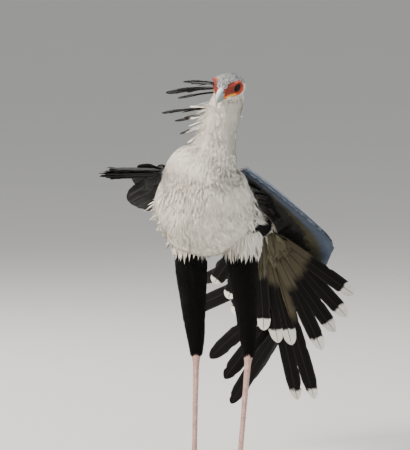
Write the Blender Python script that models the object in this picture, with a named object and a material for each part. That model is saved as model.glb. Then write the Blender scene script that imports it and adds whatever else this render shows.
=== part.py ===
"""A secretary bird standing on the ground, life size.

The bird faces the -Y axis and +Z is up, in metres. It stands still with its neck raised, its left wing
dropped and half spread behind its spread tail, and its right wing held loosely with the tips out.
Left and right are the bird's own, so its left side is at +X.
"""

import math
import random

import bmesh
import bpy
from mathutils import Euler, Vector

# Gap kept between two pieces that touch
GAP = 0.0003

# Points closer than this are welded after a Boolean, and faces flatter than this to each other are joined
WELD = 1e-6
FLAT_ANGLE = math.radians(0.2)

# Edges sharper than this stay sharp in the shading
SHARP_ANGLE = math.radians(40.0)

# Body line from the tail root to the nape: x, y, z, half width, half depth
SPINE = [
    (0.121, 0.303, 0.484, 0.028, 0.006),
    (0.115, 0.303, 0.518, 0.032, 0.013),
    (0.105, 0.283, 0.549, 0.033, 0.023),
    (0.079, 0.232, 0.568, 0.040, 0.038),
    (0.036, 0.165, 0.584, 0.062, 0.066),
    (-0.012, 0.092, 0.598, 0.104, 0.092),
    (-0.023, 0.025, 0.622, 0.110, 0.102),
    (-0.023, -0.022, 0.664, 0.097, 0.090),
    (-0.022, -0.045, 0.705, 0.084, 0.070),
    (-0.007, -0.053, 0.740, 0.057, 0.052),
    (0.003, -0.055, 0.775, 0.0425, 0.0425),
    (0.010, -0.056, 0.808, 0.0375, 0.038),
    (0.019, -0.054, 0.838, 0.0365, 0.037),
    (0.029, -0.050, 0.862, 0.0335, 0.034),
    (0.034, -0.048, 0.880, 0.022, 0.024),
]
SPINE_RINGS = 28
SPINE_SIDES = 20

# Direction of the bird's left side in the trunk
LEFT = Vector((0.952, -0.306, 0.0))

# Planes that part the trunk: a point, and the direction towards the tail end of the body line
HEAD_CUT = (Vector((0.021, -0.050, 0.858)), Vector((-0.12, 0.22, -0.97)))
NECK_CUT = (Vector((-0.014, -0.053, 0.748)), Vector((-0.30, 0.05, -0.95)))
TAIL_CUT = (Vector((0.093, 0.246, 0.567)), Vector((0.27, 0.93, -0.24)))

# Head: the middle between the eyes and how the head is turned from facing -Y
EYE_MIDDLE = Vector((0.0253, -0.075, 0.8945))
HEAD_TURN = Euler((math.radians(15.0), math.radians(8.0), math.radians(-17.0)), "XYZ")

# Head sections: forward, height, half width, half height
HEAD_SECTIONS = [
    (-0.0500, -0.0110, 0.0100, 0.0080),
    (-0.0450, -0.0105, 0.0220, 0.0165),
    (-0.0320, -0.0095, 0.0330, 0.0250),
    (-0.0130, -0.0065, 0.0352, 0.0272),
    (0.0060, -0.0040, 0.0310, 0.0262),
    (0.0200, -0.0050, 0.0250, 0.0230),
    (0.0310, -0.0065, 0.0185, 0.0185),
    (0.0400, -0.0080, 0.0140, 0.0150),
]
HEAD_RINGS = 12
HEAD_SIDES = 18

# Eyes: radius, place beside and before the middle between them, and forward look for one part outwards
EYE_RADIUS = 0.0096
EYE_OUT = 0.0222
EYE_FORWARD = 0.0020
EYE_LOOK = 0.72
EYE_SIDES = 14
LID_THICK = 0.0017
LID_SIDES = 12

# Opening between the lids: a cone's radius at its inner and outer end, its length and its middle
OPENING_INNER = 0.0062
OPENING_OUTER = 0.0105
OPENING_LENGTH = 0.0120
OPENING_OUT = 0.0120

# Brow ridge over each eye: forward, out, height, half thickness
BROW = [
    (-0.0150, 0.0275, 0.0060, 0.0030),
    (-0.0040, 0.0285, 0.0100, 0.0038),
    (0.0080, 0.0265, 0.0105, 0.0040),
    (0.0180, 0.0215, 0.0075, 0.0034),
    (0.0270, 0.0160, 0.0030, 0.0026),
]

BROW_RINGS = 7
BROW_SIDES = 6

# Bill, from where it leaves the face: forward, height, half width, half height
BILL_START = 0.0340
UPPER_BILL = [
    (0.0300, -0.0035, 0.0120, 0.0108),
    (0.0400, -0.0044, 0.0108, 0.0104),
    (0.0510, -0.0062, 0.0086, 0.0091),
    (0.0605, -0.0098, 0.0063, 0.0071),
    (0.0667, -0.0152, 0.0042, 0.0050),
    (0.0692, -0.0212, 0.0026, 0.0031),
    (0.0688, -0.0268, 0.0009, 0.0010),
]
LOWER_BILL = [
    (0.0300, -0.0168, 0.0105, 0.0066),
    (0.0400, -0.0170, 0.0092, 0.0060),
    (0.0500, -0.0174, 0.0070, 0.0049),
    (0.0575, -0.0182, 0.0045, 0.0033),
    (0.0620, -0.0194, 0.0018, 0.0014),
]
BILL_SIDES = 12
BILL_RINGS = 11
LOWER_BILL_SIDES = 10
LOWER_BILL_RINGS = 7

# Nostrils in the upper bill and the mouth line in the face: middle and size, told from the eyes' middle
NOSTRIL = Vector((0.0100, -0.0435, -0.0015))
NOSTRIL_SIZE = (0.0022, 0.0042, 0.0017)
MOUTH = Vector((0.0205, -0.0230, -0.0135))
MOUTH_SIZE = (0.0100, 0.0300, 0.0010)
MOUTH_SPREAD = math.radians(24.0)
MOUTH_RISE = math.radians(-6.0)

# Left leg: x, y, z, half width, half depth, from inside the belly to the ankle
LEFT_THIGH = [
    (0.056, 0.050, 0.580, 0.030, 0.050),
    (0.060, 0.054, 0.520, 0.032, 0.050),
    (0.064, 0.062, 0.470, 0.0305, 0.043),
    (0.067, 0.072, 0.420, 0.0260, 0.034),
    (0.071, 0.082, 0.365, 0.0210, 0.025),
    (0.0745, 0.091, 0.315, 0.0170, 0.018),
    (0.0755, 0.095, 0.287, 0.0130, 0.014),
]
RIGHT_THIGH = [
    (-0.052, 0.080, 0.580, 0.030, 0.050),
    (-0.053, 0.082, 0.520, 0.034, 0.050),
    (-0.052, 0.086, 0.470, 0.0330, 0.043),
    (-0.049, 0.092, 0.420, 0.0280, 0.034),
    (-0.046, 0.099, 0.365, 0.0230, 0.025),
    (-0.042, 0.106, 0.315, 0.0175, 0.018),
    (-0.0415, 0.110, 0.287, 0.0130, 0.014),
]
THIGH_SIDES = 12
THIGH_RINGS = 9

# The way across a leg from which its sections are counted
LEG_SIDE = Vector((1, 0, 0))

# Shank, as fractions from the ankle to the foot, with half width and half depth
SHANK_PROFILE = [
    (0.00, 0.0100, 0.0120),
    (0.05, 0.0105, 0.0130),
    (0.13, 0.0078, 0.0100),
    (0.45, 0.0066, 0.0080),
    (0.80, 0.0066, 0.0076),
    (0.93, 0.0084, 0.0092),
    (1.00, 0.0092, 0.0100),
]
SHANK_SIDES = 10
SHANK_RINGS = 12
SHANK_SUNK = 0.004

# Feet: the middle of each foot on the ground and the way its middle toe points
LEFT_FOOT = Vector((0.0530, 0.078, 0.0))
RIGHT_FOOT = Vector((-0.0465, 0.098, 0.0))
LEFT_FOOT_TURN = math.radians(-6.0)
RIGHT_FOOT_TURN = math.radians(-24.0)
FOOT_TOP = 0.026

# Toes: name, angle from the middle toe, toe length, claw length, thickness
TOES = [
    ("inner", 30.0, 0.052, 0.021, 0.0074),
    ("middle", 0.0, 0.072, 0.020, 0.0078),
    ("outer", -31.0, 0.050, 0.017, 0.0070),
    ("hind", 180.0, 0.026, 0.021, 0.0068),
]
TOE_SIDES = 8
TOE_RINGS = 8

# Hub of a foot from the shank down through the ground: height, half width, half depth
HUB_PROFILE = [
    (0.030, 0.0092, 0.0100),
    (0.018, 0.0105, 0.0115),
    (0.010, 0.0115, 0.0125),
    (-0.002, 0.0100, 0.0110),
]
HUB_SIDES = 12
HUB_RINGS = 6

# Toe with its pads: place along the toe, height, share of the toe's thickness across and upright
TOE_PROFILE = [
    (0.00, 0.0100, 1.00, 1.00),
    (0.30, 0.0090, 0.98, 1.00),
    (0.46, 0.0066, 0.86, 0.84),
    (0.66, 0.0066, 0.98, 0.92),
    (0.82, 0.0056, 0.80, 0.78),
    (1.00, 0.0058, 0.84, 0.80),
]

# Claw: place along the claw, height, share of the toe's thickness across and upright
CLAW_PROFILE = [
    (0.00, 0.0062, 0.58, 0.62),
    (0.40, 0.0066, 0.44, 0.50),
    (0.78, 0.0040, 0.26, 0.30),
    (1.00, 0.0016, 0.10, 0.12),
]
CLAW_SIDES = 6
CLAW_RINGS = 5

# Left wing: the bones' line from the shoulder to the end of the hand, with the flight feathers' tips
LEFT_WING_BONES = [
    (0.040, 0.008, 0.720),
    (0.078, 0.045, 0.693),
    (0.118, 0.086, 0.661),
    (0.160, 0.125, 0.624),
    (0.205, 0.172, 0.582),
    (0.238, 0.212, 0.548),
    (0.254, 0.245, 0.522),
    (0.256, 0.290, 0.497),
    (0.252, 0.335, 0.474),
    (0.244, 0.368, 0.456),
]
LEFT_WING_TIPS = [
    (0.050, 0.352, 0.652),
    (0.074, 0.388, 0.637),
    (0.092, 0.418, 0.619),
    (0.109, 0.447, 0.599),
    (0.113, 0.467, 0.578),
    (0.113, 0.484, 0.556),
    (0.106, 0.499, 0.534),
    (0.090, 0.512, 0.513),
    (0.067, 0.521, 0.492),
    (0.037, 0.528, 0.470),
    (0.003, 0.531, 0.444),
    (-0.034, 0.528, 0.408),
    (-0.068, 0.515, 0.334),
    (-0.010, 0.522, 0.225),
    (0.024, 0.530, 0.176),
    (0.040, 0.538, 0.116),
    (0.092, 0.526, 0.174),
]
# Where along the bones each feather starts, from 0 at the shoulder to 1 at the end of the hand
LEFT_WING_STARTS = (0.08, 0.985)

# Right wing
RIGHT_WING_BONES = [
    (-0.060, 0.000, 0.712),
    (-0.090, 0.030, 0.706),
    (-0.104, 0.062, 0.697),
    (-0.110, 0.095, 0.684),
    (-0.107, 0.127, 0.666),
    (-0.096, 0.156, 0.645),
    (-0.080, 0.180, 0.624),
]
RIGHT_WING_TIPS = [
    (-0.174, 0.330, 0.675),
    (-0.189, 0.400, 0.651),
    (-0.185, 0.392, 0.638),
    (-0.202, 0.386, 0.616),
    (-0.194, 0.380, 0.600),
    (-0.176, 0.372, 0.590),
    (-0.156, 0.364, 0.584),
    (-0.132, 0.354, 0.578),
]
# Long feathers of the right hand, closed like a fan one over the other: start and tip
RIGHT_HAND_FEATHERS = [
    ((-0.104, 0.066, 0.6900), (-0.256, 0.480, 0.6500)),
    ((-0.105, 0.068, 0.6925), (-0.266, 0.498, 0.6545)),
    ((-0.105, 0.070, 0.6950), (-0.268, 0.500, 0.6590)),
    ((-0.105, 0.072, 0.6975), (-0.264, 0.494, 0.6635)),
    ((-0.104, 0.074, 0.7000), (-0.249, 0.470, 0.6770)),
]
# The way the closed hand faces
HAND_FACE = (0.15, -0.38, 0.92)
RIGHT_WING_STARTS = (0.10, 0.98)

# Wing flesh: how far along the feathers it reaches, and its half thickness at the bones and the far edge
WING_REACH = 0.40
WING_HALF_THICK = 0.0090
EDGE_HALF_THICK = 0.0010

# Wing or tail flesh from the bones outwards: share of its reach, share of its half thickness
BED_PROFILE = ((0.02, 0.90), (0.16, 0.80), (0.50, 0.42))

# Shape of a feather or lock along its length: place, share of its full width
FLIGHT_SHAPE = ((0.0, 0.45), (0.35, 0.86), (0.90, 1.0), (1.0, 0.45))
COVERT_SHAPE = ((0.0, 0.70), (0.72, 1.0), (1.0, 0.42))
LOCK_SHAPE = ((0.0, 0.80), (0.45, 1.0), (0.80, 0.60), (1.0, 0.12))
PLUME_SHAPE = ((0.0, 0.40), (0.40, 0.55), (0.80, 1.0), (1.0, 0.40))

# Flight feathers of the wings: full width, thickness, how far each is turned about its own shaft so that
# it slides over the next, and where along its line it starts
FLIGHT_WIDTH = 0.037
FLIGHT_THICK = 0.0013
FLIGHT_TILT = math.radians(7.0)
FLIGHT_START = 0.20

# A feather turns from its root's face to its tip's face this many times faster than it runs to its tip
FACE_TURN = 1.6

# Which of a feather's four sides is its underside, counted from its upper side
BACK_SIDE = 2

# How far out from the bones the spread between neighbouring flight feathers is measured
FAN_RADIUS = 0.34

# Share of a feather's thickness that is lost towards its tip
TIP_THINNING = 0.4

# Rows of wing coverts: every how many feathers, start, end, height at the start and at the end, width
LEFT_COVERTS = [
    (1, 0.24, 0.56, 0.0030, 0.0068, 0.034),
    (2, 0.08, 0.36, 0.0040, 0.0098, 0.044),
    (2, 0.20, 0.52, -0.0030, -0.0068, 0.048),
]
RIGHT_COVERTS = [
    (1, 0.24, 0.55, 0.0030, 0.0068, 0.030),
    (2, 0.20, 0.50, -0.0030, -0.0068, 0.044),
]
COVERT_THICK = 0.0012
COVERT_TILT = math.radians(4.0)

# Tail feathers: full width, the step in height from one to the next, how many steps each is raised, and
# the flesh's reach
TAIL_WIDTH = 0.036
TAIL_STEP = 0.0022
TAIL_ORDER = [5, 4, 3, 2, 1, 0, 1, 0, 2, 3, 4, 5]
TAIL_REACH = 0.20

# Long soft feathers under the tail root: start, end, width
VENT_PLUMES = [
    ((0.106, 0.268, 0.545), (0.109, 0.245, 0.418), 0.026),
    ((0.090, 0.262, 0.545), (0.078, 0.262, 0.438), 0.024),
    ((0.122, 0.262, 0.548), (0.137, 0.235, 0.452), 0.022),
]

# The way the plumes of crest and nape face, and how far a plume bends out of a straight line
CREST_FACE = (0.2, -0.62, 0.78)
PLUME_BOW = 0.004

# Crest plumes on the back of the head: start, end, width
CREST_PLUMES = [
    ((0.024, -0.040, 0.893), (-0.070, 0.020, 0.898), 0.010),
    ((0.022, -0.038, 0.886), (-0.108, 0.030, 0.874), 0.015),
    ((0.024, -0.034, 0.878), (-0.082, 0.046, 0.861), 0.012),
    ((0.034, -0.036, 0.902), (0.042, 0.004, 0.917), 0.012),
    ((0.036, -0.036, 0.900), (0.020, 0.062, 0.905), 0.014),
    ((0.036, -0.036, 0.890), (-0.010, 0.078, 0.878), 0.015),
    ((0.038, -0.036, 0.882), (0.032, 0.070, 0.868), 0.014),
]

# Plumes of the nape, blown to the bird's right: start, end, width
NAPE_PLUMES = [
    ((0.008, -0.046, 0.843), (-0.117, 0.030, 0.829), 0.012),
    ((0.010, -0.060, 0.842), (-0.055, 0.000, 0.845), 0.008),
    ((0.006, -0.040, 0.828), (-0.088, 0.024, 0.812), 0.011),
    ((0.004, -0.060, 0.822), (-0.057, 0.000, 0.802), 0.010),
    ((0.002, -0.045, 0.808), (-0.077, 0.020, 0.784), 0.012),
    ((0.000, -0.055, 0.796), (-0.060, 0.002, 0.766), 0.012),
    ((0.000, -0.042, 0.786), (-0.066, 0.024, 0.750), 0.014),
    ((0.014, -0.034, 0.836), (-0.030, 0.066, 0.822), 0.014),
    ((0.018, -0.034, 0.826), (0.020, 0.060, 0.806), 0.016),
    ((0.008, -0.034, 0.806), (-0.020, 0.052, 0.772), 0.018),
    ((0.028, -0.060, 0.838), (0.060, -0.022, 0.824), 0.012),
]

# White locks that hang from the belly round the top of each thigh: how many, how far round to each side,
# how far off the thigh, the height of their roots and tips, how much the tips differ, and their width
FRILL_COUNT = 7
FRILL_SWEEP = math.radians(115.0)
FRILL_CLEAR = 0.0075
FRILL_TOP = 0.548
FRILL_END = 0.488
FRILL_UNEVEN = 0.006
FRILL_WIDTH = 0.026
FRILL_ROOT_IN = 0.004
FRILL_TIP_OUT = 0.002

# Loose locks of the flanks: start, end, width
FLANK_LOCKS = [
    ((-0.098, 0.045, 0.640), (-0.152, 0.086, 0.612), 0.020),
    ((-0.098, 0.055, 0.622), (-0.143, 0.100, 0.592), 0.022),
    ((-0.094, 0.050, 0.600), (-0.128, 0.112, 0.566), 0.024),
    ((-0.084, 0.060, 0.578), (-0.104, 0.124, 0.540), 0.026),
    ((0.074, 0.006, 0.618), (0.104, 0.052, 0.588), 0.026),
    ((0.074, 0.020, 0.630), (0.098, 0.074, 0.592), 0.024),
]
LOCK_THICK = 0.0016

# A flank lock faces away from the body's middle and this much upwards
FLANK_RISE = 0.02

# Tail: the middle of the row of roots, the row's half length, the flesh's half thickness, where along its
# line each feather starts, and the feather tips from right to left
TAIL_ROOT = Vector((0.106, 0.290, 0.549))
TAIL_ROOT_HALF = 0.022
TAIL_HALF_THICK = 0.0065
TAIL_START = 0.04
TAIL_TIPS = [
    (0.001, 0.345, 0.421),
    (0.033, 0.343, 0.386),
    (0.051, 0.347, 0.345),
    (0.114, 0.337, 0.313),
    (0.146, 0.336, 0.284),
    (0.190, 0.354, 0.150),
    (0.177, 0.327, 0.280),
    (0.229, 0.344, 0.153),
    (0.246, 0.303, 0.272),
    (0.275, 0.286, 0.316),
    (0.302, 0.270, 0.354),
    (0.318, 0.255, 0.407),
]

COLLECTION = "secretary_bird"
CUTTERS = "secretary_bird_cutters"

WHITE_FEATHER = (0.78, 0.78, 0.74)
GREY_FEATHER = (0.52, 0.55, 0.58)
BLACK_FEATHER = (0.012, 0.012, 0.013)
BILL_GREY = (0.42, 0.48, 0.50)
LEG_PINK = (0.62, 0.44, 0.40)
CLAW_BLACK = (0.02, 0.02, 0.02)
EYE_BROWN = (0.05, 0.02, 0.01)


def clear_scene():
    for thing in list(bpy.data.objects):
        bpy.data.objects.remove(thing, do_unlink=True)


def make_collection(name, hidden=False):
    found = bpy.data.collections.get(name)
    if found is None:
        found = bpy.data.collections.new(name)
        bpy.context.scene.collection.children.link(found)
    found.hide_render = hidden
    return found


def make_material(name, colour, rough):
    material = bpy.data.materials.new(name)
    material.use_nodes = True
    shader = material.node_tree.nodes["Principled BSDF"]
    shader.inputs["Base Color"].default_value = (*colour, 1.0)
    shader.inputs["Roughness"].default_value = rough
    shader.inputs["Metallic"].default_value = 0.0
    return material


def turn_outwards(mesh_data):
    """Flip every face of a closed mesh whose faces point inwards."""
    if mesh_data.calc_volume(signed=True) < 0.0:
        bmesh.ops.reverse_faces(mesh_data, faces=mesh_data.faces)


def make_object(name, mesh_data, collection=COLLECTION):
    """Turn a bmesh into a linked object and free the bmesh."""
    turn_outwards(mesh_data)
    mesh = bpy.data.meshes.new(name)
    mesh_data.to_mesh(mesh)
    mesh_data.free()
    thing = bpy.data.objects.new(name, mesh)
    make_collection(collection).objects.link(thing)
    return thing


def spline(points, place):
    """Read a smooth curve through rows of numbers at a place from 0 to 1."""
    spans = len(points) - 1
    at = min(max(place, 0.0), 1.0) * spans
    low = min(int(at), spans - 1)
    part = at - low
    rows = [points[min(max(low + step, 0), spans)] for step in (-1, 0, 1, 2)]
    values = []
    for before, start, end, after in zip(*rows):
        bend = 2 * before - 5 * start + 4 * end - after
        twist = 3 * start - before - 3 * end + after
        values.append(start + 0.5 * part * (end - before + part * (bend + part * twist)))
    return values


def loft(rings, turned=()):
    """Skin a list of equal rings of points and close both ends with a fan.

    The sides named in turned are split along their other diagonal.
    """
    mesh_data = bmesh.new()
    rows = [[mesh_data.verts.new(point) for point in ring] for ring in rings]
    count = len(rings[0])
    for low, high in zip(rows, rows[1:]):
        for place in range(count):
            after = (place + 1) % count
            if place in turned:
                mesh_data.faces.new((low[place], low[after], high[place]))
                mesh_data.faces.new((low[after], high[after], high[place]))
            else:
                mesh_data.faces.new((low[place], low[after], high[after]))
                mesh_data.faces.new((low[place], high[after], high[place]))
    for row in (rows[0][::-1], rows[-1]):
        middle = mesh_data.verts.new(sum((vert.co for vert in row), Vector()) / count)
        for place in range(count):
            mesh_data.faces.new((row[place], row[(place + 1) % count], middle))
    turn_outwards(mesh_data)
    return mesh_data


def tube_frames(points, count, side_hint):
    """Give evenly spread places on a curve with their along, side and up directions."""
    frames = []
    for index in range(count):
        place = index / (count - 1)
        values = spline(points, place)
        before = Vector(spline(points, place - 0.02)[:3])
        after = Vector(spline(points, place + 0.02)[:3])
        along = (after - before).normalized()
        side = (side_hint - along * side_hint.dot(along)).normalized()
        frames.append((Vector(values[:3]), along, side, side.cross(along), values[3:]))
    return frames


def tube(points, count, sides, side_hint, grow=0.0):
    """Loft round sections, given as x, y, z, half width and half depth, along a curve."""
    rings = []
    for centre, along, side, up, (half_wide, half_deep) in tube_frames(points, count, side_hint):
        ring = []
        for step in range(sides):
            angle = math.tau * step / sides
            across = side * (half_wide + grow) * math.cos(angle)
            ring.append(centre + across + up * (half_deep + grow) * math.sin(angle))
        rings.append(ring)
    return loft(rings)


def fill_cut(mesh_data, point, normal, keep_front):
    """Cut a closed mesh with a plane, drop one side and close the cut."""
    geometry = list(mesh_data.verts) + list(mesh_data.edges) + list(mesh_data.faces)
    cut = bmesh.ops.bisect_plane(
        mesh_data, geom=geometry, plane_co=point, plane_no=normal, dist=1e-7,
        clear_inner=keep_front, clear_outer=not keep_front)
    edges = [item for item in cut["geom_cut"] if isinstance(item, bmesh.types.BMEdge)]
    if edges:
        filled = bmesh.ops.contextual_create(mesh_data, geom=edges)
        bmesh.ops.triangulate(mesh_data, faces=filled["faces"])


def boolean(target, cutters, operation, solver="EXACT"):
    """Apply one Boolean of a list of closed objects to the target and remove them."""
    group = make_collection(CUTTERS, hidden=True)
    for cutter in cutters:
        for home in list(cutter.users_collection):
            home.objects.unlink(cutter)
        group.objects.link(cutter)
    modifier = target.modifiers.new("joined", "BOOLEAN")
    modifier.operation = operation
    modifier.operand_type = "COLLECTION"
    modifier.collection = group
    modifier.solver = solver
    depsgraph = bpy.context.evaluated_depsgraph_get()
    depsgraph.update()
    mesh = bpy.data.meshes.new_from_object(target.evaluated_get(depsgraph))
    target.modifiers.clear()
    target.data = mesh
    for cutter in cutters:
        bpy.data.objects.remove(cutter, do_unlink=True)
    keep_largest(target)


def keep_largest(target):
    """Weld the mesh and keep only its largest closed surface."""
    mesh_data = bmesh.new()
    mesh_data.from_mesh(target.data)
    bmesh.ops.remove_doubles(mesh_data, verts=mesh_data.verts, dist=WELD)
    bmesh.ops.dissolve_limit(mesh_data, angle_limit=FLAT_ANGLE, verts=mesh_data.verts, edges=mesh_data.edges)
    bmesh.ops.triangulate(mesh_data, faces=mesh_data.faces)
    waiting = set(mesh_data.verts)
    islands = []
    while waiting:
        stack = [waiting.pop()]
        island = set(stack)
        while stack:
            for edge in stack.pop().link_edges:
                for vert in edge.verts:
                    if vert in waiting:
                        waiting.discard(vert)
                        island.add(vert)
                        stack.append(vert)
        islands.append(island)
    largest = max(islands, key=spread)
    loose = [vert for island in islands if island is not largest for vert in island]
    bmesh.ops.delete(mesh_data, geom=loose, context="VERTS")
    mesh_data.to_mesh(target.data)
    mesh_data.free()


def spread(island):
    """Measure how far a set of points reaches, as the diagonal of its box."""
    low = Vector([min(vert.co[axis] for vert in island) for axis in range(3)])
    high = Vector([max(vert.co[axis] for vert in island) for axis in range(3)])
    return (high - low).length


def head_place(out, forward, height):
    """Give the world place of a point told from the middle between the eyes."""
    return EYE_MIDDLE + HEAD_TURN.to_matrix() @ Vector((out, -forward, height))


def head_tube(sections, count, sides, out=0.0, grow=0.0):
    """Loft round sections, given as forward, height, half width and half height, in the head."""
    rows = [(out, -forward, height, wide, high) for forward, height, wide, high in sections]
    mesh_data = tube(rows, count, sides, Vector((1, 0, 0)), grow)
    bmesh.ops.rotate(mesh_data, verts=mesh_data.verts, matrix=HEAD_TURN.to_matrix())
    bmesh.ops.translate(mesh_data, verts=mesh_data.verts, vec=EYE_MIDDLE)
    return mesh_data


def ball(name, centre, radius, segments, collection=CUTTERS):
    mesh_data = bmesh.new()
    bmesh.ops.create_uvsphere(mesh_data, u_segments=segments, v_segments=segments // 2, radius=radius)
    bmesh.ops.translate(mesh_data, verts=mesh_data.verts, vec=centre)
    return make_object(name, mesh_data, collection)


def trunk(grow=0.0):
    """Make the whole trunk from the tail root to the nape, with the head on it."""
    body = make_object("trunk", tube(SPINE, SPINE_RINGS, SPINE_SIDES, LEFT, grow))
    skull = make_object("skull", head_tube(HEAD_SECTIONS, HEAD_RINGS, HEAD_SIDES, 0.0, grow))
    boolean(body, [skull], "UNION", "MANIFOLD")
    return body


def part_of_trunk(name, whole, front_plane=None, back_plane=None):
    """Copy the trunk between two planes, half a gap inside each."""
    mesh_data = bmesh.new()
    mesh_data.from_mesh(whole.data)
    if front_plane:
        point, normal = front_plane
        fill_cut(mesh_data, point + normal.normalized() * GAP / 2, normal, True)
    if back_plane:
        point, normal = back_plane
        fill_cut(mesh_data, point - normal.normalized() * GAP / 2, normal, False)
    return make_object(name, mesh_data)


def make_eyes_and_lids(head):
    """Round the lids into the head, hollow the sockets and set an eye in each."""
    lids = []
    sockets = []
    for side in (1, -1):
        centre = head_place(side * EYE_OUT, EYE_FORWARD, 0.0)
        lids.append(ball("lid", centre, EYE_RADIUS + LID_THICK, LID_SIDES))
        brow = [(forward, out * side, height, thick) for forward, out, height, thick in BROW]
        rows = [(out, -forward, height, thick, thick) for forward, out, height, thick in brow]
        ridge = tube(rows, BROW_RINGS, BROW_SIDES, Vector((1, 0, 0)))
        bmesh.ops.rotate(ridge, verts=ridge.verts, matrix=HEAD_TURN.to_matrix())
        bmesh.ops.translate(ridge, verts=ridge.verts, vec=EYE_MIDDLE)
        lids.append(make_object("brow", ridge, CUTTERS))
    boolean(head, lids, "UNION", "MANIFOLD")
    for side_name, side in (("left", 1), ("right", -1)):
        centre = head_place(side * EYE_OUT, EYE_FORWARD, 0.0)
        look = (head_place(side, EYE_LOOK, 0.0) - EYE_MIDDLE).normalized()
        sockets.append(ball("socket", centre, EYE_RADIUS + GAP, EYE_SIDES))
        window = bmesh.new()
        bmesh.ops.create_cone(window, cap_ends=True, segments=LID_SIDES, radius1=OPENING_INNER,
                              radius2=OPENING_OUTER, depth=OPENING_LENGTH)
        turn = Vector((0, 0, 1)).rotation_difference(look).to_matrix()
        bmesh.ops.rotate(window, verts=window.verts, matrix=turn)
        bmesh.ops.translate(window, verts=window.verts, vec=centre + look * OPENING_OUT)
        sockets.append(make_object("lid_opening", window, CUTTERS))
        eye = ball("eye_" + side_name, centre, EYE_RADIUS, EYE_SIDES, COLLECTION)
        eye.data.materials.append(make_material("eye_" + side_name, EYE_BROWN, 0.05))
    for socket in sockets:
        boolean(head, [socket], "DIFFERENCE", "MANIFOLD")


def make_bill(head):
    """Cut the face flat where the bill starts and make both halves of the bill."""
    start = head_place(0.0, BILL_START, 0.0)
    forward = (head_place(0.0, 1.0, 0.0) - head_place(0.0, 0.0, 0.0)).normalized()
    mesh_data = bmesh.new()
    mesh_data.from_mesh(head.data)
    fill_cut(mesh_data, start, forward, False)
    mesh_data.to_mesh(head.data)
    mesh_data.free()

    upper_data = head_tube(UPPER_BILL, BILL_RINGS, BILL_SIDES)
    fill_cut(upper_data, start + forward * GAP, forward, True)
    upper = make_object("beak_upper", upper_data)
    lower_data = head_tube(LOWER_BILL, LOWER_BILL_RINGS, LOWER_BILL_SIDES)
    fill_cut(lower_data, start + forward * GAP, forward, True)
    lower = make_object("beak_lower", lower_data)
    upper_room = make_object("upper_room", head_tube(UPPER_BILL, BILL_RINGS, BILL_SIDES, 0.0, GAP))
    boolean(lower, [upper_room], "DIFFERENCE", "MANIFOLD")

    nostrils = []
    for side in (1, -1):
        mesh_data = bmesh.new()
        bmesh.ops.create_icosphere(mesh_data, subdivisions=1, radius=1.0)
        bmesh.ops.scale(mesh_data, verts=mesh_data.verts, vec=NOSTRIL_SIZE)
        bmesh.ops.translate(mesh_data, verts=mesh_data.verts, vec=(side * NOSTRIL.x, NOSTRIL.y, NOSTRIL.z))
        bmesh.ops.rotate(mesh_data, verts=mesh_data.verts, matrix=HEAD_TURN.to_matrix())
        bmesh.ops.translate(mesh_data, verts=mesh_data.verts, vec=EYE_MIDDLE)
        nostrils.append(make_object("nostril", mesh_data, CUTTERS))
    boolean(upper, nostrils, "DIFFERENCE", "MANIFOLD")
    upper.data.materials.append(make_material("beak_upper", BILL_GREY, 0.35))
    lower.data.materials.append(make_material("beak_lower", BILL_GREY, 0.35))


def make_leg(side_name, thigh_rows, foot, turn, torso_room):
    """Make one leg: the feathered thigh, the bare shank, the foot and its four claws."""
    thigh = make_object("thigh_" + side_name, tube(thigh_rows, THIGH_RINGS, THIGH_SIDES, LEG_SIDE))
    boolean(thigh, [torso_room], "DIFFERENCE", "MANIFOLD")
    thigh.data.materials.append(make_material("thigh_" + side_name, BLACK_FEATHER, 0.8))

    ankle = Vector(thigh_rows[-1][:3])
    below_ankle = ankle + Vector((0, 0, -GAP))
    foot_top = foot + Vector((0, 0, FOOT_TOP - SHANK_SUNK))
    rows = []
    for part, wide, deep in SHANK_PROFILE:
        centre = below_ankle.lerp(foot_top, part)
        rows.append((*centre, wide, deep))
    shank_data = tube(rows, SHANK_RINGS, SHANK_SIDES, LEG_SIDE)
    fill_cut(shank_data, Vector((0, 0, FOOT_TOP)), Vector((0, 0, 1)), True)
    shank = make_object("shank_" + side_name, shank_data)
    ankle_room = make_object("ankle_room", tube(thigh_rows, THIGH_RINGS, THIGH_SIDES, LEG_SIDE, GAP))
    boolean(shank, [ankle_room], "DIFFERENCE", "MANIFOLD")
    shank.data.materials.append(make_material("shank_" + side_name, LEG_PINK, 0.6))
    make_foot(side_name, foot, turn)


def toe_rows(profile, start, run, thick):
    """Lay a toe's or claw's profile out along the ground from its start."""
    return [(*(start + run * place + Vector((0, 0, height))), thick * wide, thick * high)
            for place, height, wide, high in profile]


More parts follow.
